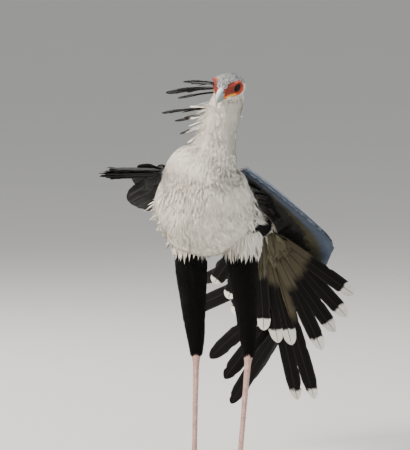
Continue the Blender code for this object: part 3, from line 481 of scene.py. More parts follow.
def grid_faces(sheets, rows, columns, closed=False):
    """Give the four corners of every face of a stack of equal grids."""
    across = columns if closed else columns - 1
    row, column = np.meshgrid(np.arange(rows - 1), np.arange(across), indexing="ij")
    after = (column + 1) % columns
    corners = np.stack((row * columns + column, row * columns + after,
                        (row + 1) * columns + after, (row + 1) * columns + column), axis=-1)
    corners = corners.reshape(-1, 4)
    offsets = np.arange(sheets)[:, None, None] * rows * columns
    return (corners[None] + offsets).reshape(-1, 4)


def make_piece(name, points, faces, material, uvs=None, values=None):
    """Turn arrays into a smooth mesh object.

    The uvs and values are given for each point, by name.
    """
    mesh = bpy.data.meshes.new(name)
    points = np.ascontiguousarray(points.reshape(-1, 3), dtype=np.float32)
    corners = faces.shape[1]
    mesh.vertices.add(len(points))
    mesh.vertices.foreach_set("co", points.ravel())
    mesh.loops.add(faces.size)
    mesh.loops.foreach_set("vertex_index", faces.ravel().astype(np.int32))
    mesh.polygons.add(len(faces))
    mesh.polygons.foreach_set("loop_start", np.arange(0, faces.size, corners, dtype=np.int32))
    mesh.update(calc_edges=True)
    for key, value in (uvs or {}).items():
        layer = mesh.uv_layers.new(name=key)
        layer.data.foreach_set("uv", value.reshape(-1, 2)[faces.ravel()].astype(np.float32).ravel())
    for key, value in (values or {}).items():
        kind = "FLOAT" if value.ndim == 1 else "FLOAT_VECTOR"
        layer = mesh.attributes.new(key, kind, "POINT")
        layer.data.foreach_set("value" if value.ndim == 1 else "vector", value.astype(np.float32).ravel())
    mesh.materials.append(material)
    mesh.shade_smooth()
    piece = bpy.data.objects.new(name, mesh)
    bpy.context.scene.collection.objects.link(piece)
    return piece


def dress(piece, slot, *nodes):
    """Let a piece ride on the bird and stand for its nodes. The slot is not used."""
    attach(piece, "root")
    if nodes:
        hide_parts(*nodes)


# Small feathers

FEATHER_PROFILE = ((0.0, 0.50), (0.30, 0.88), (0.62, 1.0), (0.86, 0.74), (1.0, 0.22))
HAIR_PROFILE = ((0.0, 0.80), (0.40, 1.0), (0.75, 0.62), (1.0, 0.10))


def lay_feathers(surface, roots, way, length, width, draw, rows=5, columns=5, depth=0.004, rise=0.0012,
                 lift=0.0, fray=0.16, drift=0.0, swing=0.10, steep=1.3, ruffle=0.0002, droop=0.14, profile=FEATHER_PROFILE,
                 uv_box=(0, 0, 1, 1), marks=None):
    """Lay one small feather from each root along a surface and return its arrays.

    A feather leaves the skin at the given depth under the surface and its tip rises above it. Way is the
    sign of its direction along the surface.
    """
    place, turn = roots
    number = len(place)
    length = np.broadcast_to(length, (number,)) * draw.uniform(0.86, 1.14, number)
    width = np.broadcast_to(width, (number,)) * draw.uniform(0.85, 1.15, number)
    lift = np.broadcast_to(lift, (number,)) + draw.uniform(-0.02, 0.05, number)
    step = 0.004
    near = np.clip(place, step, 1.0 - step)
    speed = np.linalg.norm(surface(near + step, turn) - surface(near - step, turn), axis=1) / (2 * step)
    reach = way * length / np.maximum(speed, 1e-4)
    along = np.linspace(0.0, 1.0, rows)
    aside = np.broadcast_to(drift, (number,)) + draw.normal(0.0, swing, number)
    spin = np.linalg.norm(surface(near, turn + step) - surface(near, turn - step), axis=1) / (2 * step)
    turning = aside * length / np.maximum(spin, 1e-4)
    places = place[:, None] + reach[:, None] * along
    turns = turn[:, None] + turning[:, None] * along
    centre, normal, ahead = read_surface(surface, places, turns)
    ahead = unit(np.gradient(centre, axis=1))
    across = np.cross(normal, ahead)
    shares = np.interp(along, [item[0] for item in profile], [item[1] for item in profile])
    spread = np.linspace(-1.0, 1.0, columns)
    ragged = 1.0 - 0.20 * spread ** 2 - fray * draw.random((number, columns))
    back = along[None, :, None] ** 2 * (ragged[:, None, :] - 1.0) * length[:, None, None]
    half = 0.5 * width[:, None, None] * shares[None, :, None] * spread[None, None, :]
    height = -depth + (depth + rise) * (1.0 - (1.0 - along) ** steep)
    height = height[None, :] + lift[:, None] * length[:, None] * along ** 1.6
    height = height[:, :, None] - droop * np.abs(half) * np.abs(spread)
    height = height + draw.normal(0.0, ruffle, (number, rows, columns)) * along[None, :, None]
    points = (centre[:, :, None] + across[:, :, None] * half[..., None] + ahead[:, :, None] * back[..., None]
              + normal[:, :, None] * height[..., None])
    grid_u = np.broadcast_to((spread + 1) / 2, (number, rows, columns))
    grid_v = np.broadcast_to(along[:, None], (number, rows, columns))
    left, low, right, high = uv_box
    root_u = left + (turn % 1.0) * (right - left)
    root_v = low + place * (high - low)
    patch = 0.003
    bake_u = root_u[:, None, None] + (grid_u - 0.5) * patch
    bake_v = root_v[:, None, None] + (grid_v - 0.5) * patch
    values = {"tone": np.repeat(draw.random(number), rows * columns),
              "lie": np.repeat(normal[:, :, None], columns, axis=2).reshape(-1, 3)}
    root_points = surface(place, turn)
    for key, value in (marks(root_points) if marks else {}).items():
        values[key] = np.repeat(value, rows * columns)
    uvs = {"Feather": np.stack((grid_u, grid_v), axis=-1).reshape(-1, 2),
           "OFBake": np.stack((bake_u, bake_v), axis=-1).reshape(-1, 2)}
    return points.reshape(-1, 3), grid_faces(number, rows, columns), uvs, values


def join_arrays(parts):
    """Join several sets of arrays, as lay_feathers returns them, into one."""
    start = 0
    points, faces = [], []
    for part in parts:
        points.append(part[0])
        faces.append(part[1] + start)
        start += len(part[0])
    uvs = {key: np.concatenate([part[2][key] for part in parts]) for key in parts[0][2]}
    values = {key: np.concatenate([part[3][key] for part in parts]) for key in parts[0][3]}
    return np.concatenate(points), np.concatenate(faces), uvs, values


TRIANGLES_A_PIECE = 180000


def make_coat(name, arrays, material, slot, per_feather, nodes=()):
    """Make one or more pieces from feather arrays, none with too many triangles."""
    points, faces, uvs, values = arrays
    face_count, point_count = per_feather
    each = max(int(TRIANGLES_A_PIECE / 2 / face_count), 1)
    feathers = len(faces) // face_count
    for index, first in enumerate(range(0, feathers, each)):
        last = min(first + each, feathers)
        some = slice(first * point_count, last * point_count)
        part_faces = faces[first * face_count:last * face_count] - first * point_count
        piece = make_piece(f"{name}_{index + 1}", points[some], part_faces, material,
                           {key: value[some] for key, value in uvs.items()},
                           {key: value[some] for key, value in values.items()})
        dress(piece, slot, *(nodes if index == 0 else ()))


# Long feathers

VANE_COLUMNS = (-1.0, -0.82, -0.60, -0.38, -0.18, -0.06, 0.0, 0.06, 0.18, 0.38, 0.60, 0.82, 1.0)
SHAFT_COLUMNS = 0.07
FLIGHT_OUTLINE = ((0.0, 0.16), (0.05, 0.44), (0.16, 0.72), (0.40, 0.90), (0.72, 1.0), (0.88, 0.97),
                  (0.955, 0.74), (0.985, 0.46), (1.0, 0.12))
PLUME_OUTLINE = ((0.0, 0.14), (0.12, 0.30), (0.45, 0.52), (0.78, 1.0), (0.92, 0.86), (0.98, 0.50),
                 (1.0, 0.15))
LOCK_OUTLINE = ((0.0, 0.45), (0.20, 0.85), (0.55, 1.0), (0.85, 0.55), (1.0, 0.08))


def long_feather(start, tip, face, width, thick, draw, outline=FLIGHT_OUTLINE, tip_face=None, tilt=0.0,
                 bow=0.0, sweep=0.0, camber=0.10, lean=0.0, splits=3, rows=34, values=None):
    """Make the arrays of one long feather with a raised shaft, a closed plate on both faces.

    Bow lifts its middle, sweep bends it in its own plane, and lean moves the shaft to one edge.
    """
    start = np.asarray(start, float)
    run = np.asarray(tip, float) - start
    face = np.asarray(face, float)
    tip_face = face if tip_face is None else np.asarray(tip_face, float)
    along = 1.0 - (1.0 - np.linspace(0.0, 1.0, rows)) ** 1.25
    ahead = unit(run)
    turn = np.minimum(along * FACE_TURN, 1.0)[:, None]
    side = unit(np.cross(ahead, face * (1 - turn) + tip_face * turn))
    up = np.cross(side, ahead)
    side, up = side * math.cos(tilt) + up * math.sin(tilt), up * math.cos(tilt) - side * math.sin(tilt)
    arch = (4.0 * along * (1.0 - along))[:, None]
    middle = start + run * along[:, None] + up * bow * arch + side * sweep * arch
    share = np.interp(along, [item[0] for item in outline], [item[1] for item in outline])
    columns = np.array(VANE_COLUMNS)
    half = 0.5 * width * share[:, None]
    offset = columns + lean * (1.0 - np.abs(columns)) * np.minimum(1.0, 1.0)
    across = half * offset
    edge = np.ones((rows, len(columns)))
    for split in range(splits):
        row = int(draw.uniform(0.30, 0.93) * rows)
        depth = draw.uniform(0.05, 0.20)
        if draw.random() < 0.5:
            edge[row, 0:2] -= depth
        else:
            edge[row, -2:] -= depth
    across = across * edge
    ripple = draw.normal(0.0, 0.00025, (rows, len(columns))) * np.abs(columns)
    height = -camber * width * share[:, None] * np.abs(columns) ** 1.6 + ripple
    taper = 1.0 - 0.75 * along[:, None]
    body = 0.5 * thick * taper * (1.0 - 0.72 * np.abs(columns))
    shaft = 0.00095 * (1.0 - 0.85 * along[:, None]) * np.clip(1.0 - (np.abs(columns) / 0.06) ** 2, 0.0, 1.0)
    top = height + body + shaft
    bottom = height - body - shaft
    base = middle[:, None] + side[:, None] * across[..., None]
    upper = base + up[:, None] * top[..., None]
    lower = (base + up[:, None] * bottom[..., None])[:, ::-1]
    points = np.concatenate((upper, lower), axis=1)
    count = 2 * len(columns)
    grid_u = np.concatenate((columns, columns[::-1])) * 0.5 + 0.5
    uv = np.stack(np.broadcast_arrays(grid_u[None, :], along[:, None]), axis=-1)
    faces = grid_faces(1, rows, count, closed=True)
    kept = {"tone": np.full(rows * count, draw.random())}
    for key, value in (values or {}).items():
        kept[key] = np.full(rows * count, value)
    return points.reshape(-1, 3) + MOVE, faces, {"Feather": uv.reshape(-1, 2)}, kept


# Materials

def add_node(tree, kind, inputs=None, **settings):
    """Add one node, set its options and fill or link its inputs."""
    node = tree.nodes.new(kind)
    for name, value in settings.items():
        setattr(node, name, value)
    for key, value in (inputs or {}).items():
        if isinstance(value, bpy.types.NodeSocket):
            tree.links.new(value, node.inputs[key])
        else:
            node.inputs[key].default_value = value
    return node


def start_material(name, rough, **constants):
    """Make a material with a Principled shader and set its constant inputs."""
    material = bpy.data.materials.new(name)
    material.use_nodes = True
    tree = material.node_tree
    shader = tree.nodes["Principled BSDF"]
    shader.inputs["Roughness"].default_value = rough
    for key, value in constants.items():
        shader.inputs[key.replace("_", " ")].default_value = value
    return material, tree, shader


def mix_colours(tree, factor, first, second, blend="MIX"):
    node = add_node(tree, "ShaderNodeMix", data_type="RGBA", blend_type=blend)
    for socket, value in ((node.inputs[0], factor), (node.inputs[6], first), (node.inputs[7], second)):
        if isinstance(value, bpy.types.NodeSocket):
            tree.links.new(value, socket)
        else:
            socket.default_value = value
    return node.outputs[2]


def calculate(tree, operation, *values, clamp=False):
    node = add_node(tree, "ShaderNodeMath", operation=operation, use_clamp=clamp)
    for socket, value in zip(node.inputs, values):
        if isinstance(value, bpy.types.NodeSocket):
            tree.links.new(value, socket)
        else:
            socket.default_value = value
    return node.outputs[0]


def ramp(tree, value, low, high):
    """Give 0 under low and 1 over high, smoothly between."""
    node = add_node(tree, "ShaderNodeMapRange", {"From Min": low, "From Max": high},
                    interpolation_type="SMOOTHSTEP")
    tree.links.new(value, node.inputs["Value"])
    return node.outputs["Result"]


def read_value(tree, name):
    return add_node(tree, "ShaderNodeAttribute", attribute_name=name).outputs["Fac"]


def add_bump(tree, shader, height, strength, distance, normal=None):
    bump = add_node(tree, "ShaderNodeBump", {"Strength": strength, "Distance": distance, "Height": height})
    if normal is not None:
        tree.links.new(normal, bump.inputs["Normal"])
    tree.links.new(bump.outputs["Normal"], shader.inputs["Normal"])


def feather_axes(tree):
    """Read a feather's own map: across it from 0 to 1, along it from 0 to 1, and off its shaft."""
    split = add_node(tree, "ShaderNodeSeparateXYZ",
                     {"Vector": add_node(tree, "ShaderNodeUVMap", uv_map="Feather").outputs["UV"]})
    across, along = split.outputs["X"], split.outputs["Y"]
    off = calculate(tree, "ABSOLUTE", calculate(tree, "SUBTRACT", across, 0.5))
    return across, along, off


def barbs(tree, along, off, count, slant):
    """Draw the fine slanted barbs of a vane as waves from 0 to 1."""
    place = calculate(tree, "SUBTRACT", along, calculate(tree, "MULTIPLY", off, slant))
    wave = calculate(tree, "SINE", calculate(tree, "MULTIPLY", place, count))
    return calculate(tree, "MULTIPLY_ADD", wave, 0.5, 0.5)


def coat_normal(tree, smoothness):
    """Turn each feather's shading towards the lie of the coat, so that the plumage reads as one soft whole."""
    lie = add_node(tree, "ShaderNodeVectorMath", {
        0: add_node(tree, "ShaderNodeAttribute", attribute_name="lie").outputs["Vector"]}, operation="SCALE")
    lie.inputs["Scale"].default_value = smoothness
    own = add_node(tree, "ShaderNodeVectorMath", {0: add_node(tree, "ShaderNodeNewGeometry").outputs["Normal"]},
                   operation="SCALE")
    own.inputs["Scale"].default_value = 1.0 - smoothness
    both = add_node(tree, "ShaderNodeVectorMath", {0: lie.outputs[0], 1: own.outputs[0]}, operation="ADD")
    return add_node(tree, "ShaderNodeVectorMath", {0: both.outputs[0]}, operation="NORMALIZE").outputs[0]


def make_plumage(name, colours, barb_count, edge_light, root_shade=0.06, unevenness=0.06):
    """Soft small feathers: white, grey and black by their marks, paler and ragged at the edge."""
    material, tree, shader = start_material(name, 0.85, Sheen_Weight=0.04, Sheen_Roughness=0.5,
                                            Specular_IOR_Level=0.15, Subsurface_Weight=0.30,
                                            Subsurface_Radius=(1.0, 1.0, 1.0), Subsurface_Scale=0.003)
    across, along, off = feather_axes(tree)
    tone = read_value(tree, "tone")
    noise = add_node(tree, "ShaderNodeTexNoise", {"Scale": 55.0, "Detail": 4.0, "Vector": add_node(
        tree, "ShaderNodeTexCoord").outputs["Object"]}).outputs["Fac"]
    white, grey, black = colours
    cool = tuple(white[i] * (0.80, 0.83, 0.90)[i] for i in range(3)) + (1.0,)
    base = mix_colours(tree, calculate(tree, "MULTIPLY", tone, 0.22), white, cool)
    grey_amount = calculate(tree, "MULTIPLY", read_value(tree, "grey"),
                            calculate(tree, "MULTIPLY_ADD", noise, 0.6, 0.7), clamp=True)
    base = mix_colours(tree, grey_amount, base, grey)
    base = mix_colours(tree, ramp(tree, read_value(tree, "dark"), 0.35, 0.65), base, black)
    # Painted shade: each feather darkens towards its root, where the feathers lying over it shade it
    root = calculate(tree, "SUBTRACT", 1.0, ramp(tree, along, 0.0, 0.55))
    shade = mix_colours(tree, calculate(tree, "MULTIPLY", root, root_shade), (1, 1, 1, 1), (0.34, 0.33, 0.32, 1))
    base = mix_colours(tree, 1.0, base, shade, "MULTIPLY")
    lines = barbs(tree, along, off, barb_count, 0.6)
    vary = calculate(tree, "MULTIPLY_ADD", tone, unevenness, 0.98 - unevenness)
    vary = calculate(tree, "MULTIPLY_ADD", lines, 0.05, vary)
    vary = calculate(tree, "MULTIPLY_ADD", ramp(tree, off, 0.30, 0.5), edge_light, vary)
    grey_vary = add_node(tree, "ShaderNodeCombineColor", {"Red": vary, "Green": vary, "Blue": vary})
    base = mix_colours(tree, 1.0, base, grey_vary.outputs["Color"], "MULTIPLY")
    tree.links.new(base, shader.inputs["Base Color"])
    add_bump(tree, shader, lines, 0.20, 0.0002, coat_normal(tree, 0.95))
    return material


def make_flight_material(name, black, pale, shaft, banded):
    """Stiff long feathers: a pale base, a broad black band and a white tip where banded, else black."""
    material, tree, shader = start_material(name, 0.66, Specular_IOR_Level=0.12)
    across, along, off = feather_axes(tree)
    tone = read_value(tree, "tone")
    object_place = add_node(tree, "ShaderNodeTexCoord").outputs["Object"]
    mottle = add_node(tree, "ShaderNodeTexNoise", {"Scale": 90.0, "Detail": 5.0, "Vector": object_place})
    shift = calculate(tree, "MULTIPLY", calculate(tree, "SUBTRACT", mottle.outputs["Fac"], 0.5), 0.05)
    place = calculate(tree, "ADD", along, shift)
    worn = mix_colours(tree, ramp(tree, off, 0.34, 0.5), black,
                       tuple(min(c * 2.4 + 0.01, 1.0) for c in black[:3]) + (1.0,))
    base = worn
    if banded:
        band = calculate(tree, "SUBTRACT", place, read_value(tree, "band"))
        base = mix_colours(tree, ramp(tree, band, -0.07, 0.03), pale, worn)
        tip = calculate(tree, "SUBTRACT", place, read_value(tree, "tip"))
        base = mix_colours(tree, ramp(tree, tip, -0.012, 0.012), base, linear("#E9E6DF"))
    else:
        base = mix_colours(tree, read_value(tree, "pale"), base, pale)
    vary = calculate(tree, "MULTIPLY_ADD", tone, 0.28, 0.58)
    lines = barbs(tree, along, off, 520.0, 0.35)
    vary = calculate(tree, "MULTIPLY_ADD", lines, 0.16, vary)
    vary = calculate(tree, "MULTIPLY_ADD", mottle.outputs["Fac"], 0.18, vary)
    vary_colour = add_node(tree, "ShaderNodeCombineColor", {"Red": vary, "Green": vary, "Blue": vary})
    base = mix_colours(tree, 1.0, base, vary_colour.outputs["Color"], "MULTIPLY")
    on_shaft = calculate(tree, "SUBTRACT", 1.0, ramp(tree, off, 0.018, 0.034))
    base = mix_colours(tree, calculate(tree, "MULTIPLY", on_shaft, 0.85), base, shaft)
    tree.links.new(base, shader.inputs["Base Color"])
    add_bump(tree, shader, lines, 0.45, 0.0004)
    return material


def make_skin_under(name, colours):
    """Down under the coat and the bare orange face, wrinkled and a little waxy."""
    material, tree, shader = start_material(name, 0.55, Subsurface_Weight=0.08, Subsurface_Scale=0.002,
                                            Specular_IOR_Level=0.4)
    white, grey, black, face, gape = colours
    place = add_node(tree, "ShaderNodeTexCoord").outputs["Object"]
    dull = tuple(c * 0.90 for c in white[:3]) + (1.0,)
    base = mix_colours(tree, read_value(tree, "grey"), dull, tuple(c * 0.8 for c in grey[:3]) + (1.0,))
    base = mix_colours(tree, ramp(tree, read_value(tree, "dark"), 0.3, 0.6), base, black)
    folds = add_node(tree, "ShaderNodeTexVoronoi", {"Scale": 900.0, "Vector": place},
                     feature="DISTANCE_TO_EDGE")
    blotch = add_node(tree, "ShaderNodeTexNoise", {"Scale": 140.0, "Detail": 6.0, "Vector": place})
    deep = tuple(c * f for c, f in zip(face[:3], (0.62, 0.40, 0.45))) + (1.0,)
    bare = mix_colours(tree, ramp(tree, blotch.outputs["Fac"], 0.35, 0.70), deep, face)
    # Painted shade: between bill and eye the bare face is darkened towards brown, mostly for the shade there, partly
    # the skin's own red-brown
    brown = tuple(c * f for c, f in zip(face[:3], (0.09, 0.07, 0.20))) + (1.0,)
    bare = mix_colours(tree, calculate(tree, "MULTIPLY", read_value(tree, "umber"), 0.82), bare, brown)
    bare = mix_colours(tree, read_value(tree, "gape"), bare, gape)
    base = mix_colours(tree, ramp(tree, read_value(tree, "bare"), 0.15, 0.5), base, bare)
    tree.links.new(base, shader.inputs["Base Color"])
    height = calculate(tree, "MULTIPLY", ramp(tree, folds.outputs["Distance"], 0.0, 0.25),
                       read_value(tree, "bare"))
    add_bump(tree, shader, height, 0.5, 0.0004)
    return material


def make_bill_material(name, bill, gape):
    """Pale blue-grey horn, painted highlight on the ridge, yellowish cere, fine growth lines, painted shade in the
    nostril.
    """
    material, tree, shader = start_material(name, 0.30, Specular_IOR_Level=0.5, Coat_Weight=0.15,
                                            Coat_Roughness=0.2)
    place = add_node(tree, "ShaderNodeTexCoord").outputs["Object"]
    noise = add_node(tree, "ShaderNodeTexNoise", {"Scale": 220.0, "Detail": 6.0, "Vector": place})
    streak = add_node(tree, "ShaderNodeTexNoise", {"Scale": 60.0, "Detail": 3.0, "Distortion": 1.2,
                                                   "Vector": place})
    dark = tuple(c * 0.72 for c in bill[:3]) + (1.0,)
    base = mix_colours(tree, ramp(tree, noise.outputs["Fac"], 0.30, 0.75), dark, bill)
    # Painted highlight: the top of the upper bill is painted paler, where the light falls on it
    base = mix_colours(tree, calculate(tree, "MULTIPLY", read_value(tree, "ridge"), 0.7), base,
                       linear("#DDE3E2"))
    base = mix_colours(tree, calculate(tree, "MULTIPLY", ramp(tree, streak.outputs["Fac"], 0.45, 0.65), 0.25),
                       base, linear("#6E7B83"))
    base = mix_colours(tree, read_value(tree, "end"), base, linear("#8C8F5E"))
    base = mix_colours(tree, read_value(tree, "cere"), base, gape)
    # Painted shade: the nostril opening is painted near-black for the shade inside the hole
    base = mix_colours(tree, read_value(tree, "hole"), base, linear("#16110E"))
    tree.links.new(base, shader.inputs["Base Color"])
    add_bump(tree, shader, noise.outputs["Fac"], 0.22, 0.0004)
    return material


def make_eye_material(name, iris):
    """Wet dark eye: black pupil, brown iris with spokes, a dark ring round it, brown outside."""
    material, tree, shader = start_material(name, 0.35, Specular_IOR_Level=0.05, Coat_Weight=0.28,
                                            Coat_Roughness=0.0)
    split = add_node(tree, "ShaderNodeSeparateXYZ",
                     {"Vector": add_node(tree, "ShaderNodeUVMap", uv_map="Ball").outputs["UV"]})
    turn, polar = split.outputs["X"], split.outputs["Y"]
    spokes = add_node(tree, "ShaderNodeTexNoise", {"Scale": 1.0, "Detail": 4.0, "Vector": add_node(
        tree, "ShaderNodeCombineXYZ", {"X": calculate(tree, "MULTIPLY", turn, 90.0),
                                       "Y": calculate(tree, "MULTIPLY", polar, 6.0)}).outputs["Vector"]})
    light = tuple(min(c * 2.2, 1.0) for c in iris[:3]) + (1.0,)
    base = mix_colours(tree, spokes.outputs["Fac"], iris, light)
    base = mix_colours(tree, ramp(tree, polar, 0.175, 0.195), linear("#050404"), base)
    base = mix_colours(tree, ramp(tree, polar, 0.335, 0.365), base, linear("#120C08"))
    base = mix_colours(tree, ramp(tree, polar, 0.40, 0.46), base, linear("#5C4636"))
    tree.links.new(base, shader.inputs["Base Color"])
    return material


def make_lid_material(name, face):
    """Orange-red lid skin with fine folds round the eye and a darker wet rim."""
    material, tree, shader = start_material(name, 0.42, Subsurface_Weight=0.10, Subsurface_Scale=0.0015,
                                            Specular_IOR_Level=0.45)
    split = add_node(tree, "ShaderNodeSeparateXYZ",
                     {"Vector": add_node(tree, "ShaderNodeUVMap", uv_map="Lid").outputs["UV"]})
    turn, out = split.outputs["X"], split.outputs["Y"]
    place = add_node(tree, "ShaderNodeTexCoord").outputs["Object"]
    blotch = add_node(tree, "ShaderNodeTexNoise", {"Scale": 260.0, "Detail": 5.0, "Vector": place})
    deep = tuple(c * f for c, f in zip(face[:3], (0.50, 0.30, 0.40))) + (1.0,)
    base = mix_colours(tree, ramp(tree, blotch.outputs["Fac"], 0.35, 0.7), deep, face)
    rim = calculate(tree, "SUBTRACT", 1.0, ramp(tree, out, 0.10, 0.34))
    base = mix_colours(tree, rim, base, linear("#1D100C"))
    tree.links.new(base, shader.inputs["Base Color"])
    folds = calculate(tree, "SINE", calculate(tree, "MULTIPLY_ADD", out, 42.0,
                                              calculate(tree, "MULTIPLY", blotch.outputs["Fac"], 5.0)))
    add_bump(tree, shader, folds, 0.4, 0.0003)
    return material


def make_leg_material(name, skin):
    """Dull pink scaled skin, greyer in the grooves and worn pale on the plates."""
    material, tree, shader = start_material(name, 0.60, Specular_IOR_Level=0.35, Subsurface_Weight=0.05,
                                            Subsurface_Scale=0.002)
    place = add_node(tree, "ShaderNodeTexCoord").outputs["Object"]
    cells = add_node(tree, "ShaderNodeTexVoronoi", {"Scale": 340.0, "Vector": place},
                     feature="DISTANCE_TO_EDGE")
    noise = add_node(tree, "ShaderNodeTexNoise", {"Scale": 70.0, "Detail": 6.0, "Vector": place})
    groove = tuple(c * f for c, f in zip(skin[:3], (0.42, 0.36, 0.38))) + (1.0,)
    pale = tuple(min(c * 1.35, 1.0) for c in skin[:3]) + (1.0,)
    base = mix_colours(tree, ramp(tree, noise.outputs["Fac"], 0.35, 0.68), skin, pale)
    cell = ramp(tree, cells.outputs["Distance"], 0.0, 0.16)
    base = mix_colours(tree, cell, groove, base)
    tree.links.new(base, shader.inputs["Base Color"])
    add_bump(tree, shader, cell, 0.6, 0.0005)
    return material


def make_horn_material(name, claw):
    """Dark claw horn with growth lines along it."""
    material, tree, shader = start_material(name, 0.36, Specular_IOR_Level=0.5)
    place = add_node(tree, "ShaderNodeTexCoord").outputs["Object"]
    noise = add_node(tree, "ShaderNodeTexNoise", {"Scale": 300.0, "Detail": 5.0, "Vector": place})
    light = tuple(c * 3.0 for c in claw[:3]) + (1.0,)
    base = mix_colours(tree, ramp(tree, noise.outputs["Fac"], 0.4, 0.75), claw, light)
    tree.links.new(base, shader.inputs["Base Color"])
    add_bump(tree, shader, noise.outputs["Fac"], 0.25, 0.0003)
    return material


def make_floor_material(name, floor):
    """Plain pale matt floor with the faintest unevenness."""
    material, tree, shader = start_material(name, 0.85, Specular_IOR_Level=0.2)
    place = add_node(tree, "ShaderNodeTexCoord").outputs["Object"]
    noise = add_node(tree, "ShaderNodeTexNoise", {"Scale": 3.0, "Detail": 3.0, "Vector": place})
    darker = tuple(c * 0.96 for c in floor[:3]) + (1.0,)
    base = mix_colours(tree, noise.outputs["Fac"], darker, floor)
    tree.links.new(base, shader.inputs["Base Color"])
    return material


# Markings, told from a point's place

def head_coordinates(points):
    """Give out, forward and height from the middle between the eyes."""
    local = (points - MOVE - np.array(EYE_MIDDLE)) @ HEAD_MATRIX
    return local[:, 0], -local[:, 1], local[:, 2]


def bare_face(points):
    """Give 1 on the bare orange skin round the eye and along the bill's base, 0 elsewhere."""
    out, forward, height = head_coordinates(points)
    round_eye = ((forward - 0.0110) / 0.0275) ** 2 + ((height + 0.0015) / 0.0170) ** 2
    face = (1.0 - smooth(0.80, 1.15, round_eye)) * smooth(0.0045, 0.0100, np.abs(out))
    bill_base = smooth(0.0290, 0.0315, forward) * (1.0 - smooth(0.0040, 0.0070, height))
    return np.maximum(face, bill_base)


def marks(points):
    """Give how dark, grey, bare and yellow the skin and coat are, and the painted shade between bill and eye."""
    x, y, z = (points - MOVE).T
    out, forward, height = head_coordinates(points)
    near_head = 1.0 - smooth(0.050, 0.070, np.sqrt(out ** 2 + forward ** 2 + height ** 2))
    crown = near_head * smooth(-0.004, 0.010, height) * 0.85
    back = smooth(0.03, 0.08, y) * smooth(0.625, 0.665, z) * (1.0 - smooth(0.20, 0.25, y))
    # On the rear flank the black reaches to about 0.6 m: the lower belly's own black, raised there as painted shade for
    # the shade behind the body
    belly = smooth(0.04, 0.08, y) * (1.0 - smooth(0.575, 0.605, z)) * (1.0 - smooth(0.22, 0.25, y))
    thigh = (1.0 - smooth(0.500, 0.525, z)) * (1.0 - smooth(0.20, 0.22, y))
    gape = 1.0 - smooth(0.5, 1.2, ((forward - 0.0240) / 0.0165) ** 2 + ((height + 0.0135) / 0.0042) ** 2)
    # Ahead of the eye, above the gape: painted shade, partly the skin's own red-brown
    umber = smooth(0.007, 0.015, forward) * smooth(-0.011, -0.004, height)
    return {"dark": np.maximum(belly, thigh), "grey": np.maximum(crown, back), "bare": bare_face(points),
            "gape": gape * near_head, "umber": umber * near_head}


def coat_marks(points):
    found = marks(points)
    return {"dark": found["dark"], "grey": found["grey"]}


def head_marks(points):
    """Speckle the crown: whitish, grey and some brown-black small feathers mixed, the throat plain white."""
    found = marks(points)
    crown = found["grey"]
    chance = np.random.default_rng(31).random((2, len(points)))
    return {"dark": np.where(chance[0] < 0.60 * crown, 0.40 + 0.20 * chance[1], 0.0),
            "grey": crown * (0.45 + 0.75 * chance[1])}


def black_marks(points):
    return {"dark": np.ones(len(points)), "grey": np.zeros(len(points))}


def grey_marks(points):
    return {"dark": np.zeros(len(points)), "grey": np.ones(len(points))}


def pale_marks(points):
    return {"dark": np.zeros(len(points)), "grey": np.full(len(points), 0.15)}


HEAD_ROWS = [(0.0, -forward, height, wide, high) for forward, height, wide, high in HEAD_SECTIONS]


def tube_ratio(rows, hint, points, in_head=False):
    """Tell how far out of a round limb each point lies: under 1 is inside it."""
    points = points - MOVE
    if in_head:
        points = (points - np.array(EYE_MIDDLE)) @ HEAD_MATRIX
    places = np.linspace(0.0, 1.0, 160)
    values = curve(rows, places)
    along = unit(curve(rows, places + 0.02)[:, :3] - curve(rows, places - 0.02)[:, :3])
    hint = np.asarray(hint, float)
    side = unit(hint - along * (along @ hint)[:, None])
    up = np.cross(side, along)
    away = points[:, None, :] - values[None, :, :3]
    nearest = np.argmin((away ** 2).sum(axis=2), axis=1)
    away = away[np.arange(len(points)), nearest]
    wide = (away * side[nearest]).sum(axis=1) / values[nearest, 3]
    deep = (away * up[nearest]).sum(axis=1) / values[nearest, 4]
    past = np.abs((away * along[nearest]).sum(axis=1)) / 0.010
    return np.sqrt(wide ** 2 + deep ** 2) + np.maximum(past - 1.0, 0.0)


def shrink_rows(rows, depth):
    """Make the sections of a limb smaller by the depth of its coat."""
    return [(*row[:-2], max(row[-2] - depth, 0.002), max(row[-1] - depth, 0.002)) for row in rows]


def closed_tube(surface, rows, columns, first=0.0, last=1.0):
    """Give the points and faces of a limb's surface with both ends drawn to a point."""
    place, turn = np.meshgrid(np.linspace(first, last, rows), np.arange(columns) / columns, indexing="ij")
    points = surface(place, turn)
    ends = [points[:1].mean(axis=1, keepdims=True).repeat(columns, axis=1),
            points[-1:].mean(axis=1, keepdims=True).repeat(columns, axis=1)]
    points = np.concatenate((ends[0], points, ends[1]), axis=0)
    return points, grid_faces(1, rows + 2, columns, closed=True)


def plain_object(name, points, faces):
    mesh = bpy.data.meshes.new(name)
    mesh.from_pydata(points.reshape(-1, 3).tolist(), [], faces.tolist())
    data = bmesh.new()
    data.from_mesh(mesh)
    bmesh.ops.remove_doubles(data, verts=data.verts, dist=1e-6)
    bmesh.ops.recalc_face_normals(data, faces=data.faces)
    data.to_mesh(mesh)
    data.free()
    thing = bpy.data.objects.new(name, mesh)
    bpy.context.scene.collection.objects.link(thing)
    return thing


SKIN_VOXEL = 0.0024


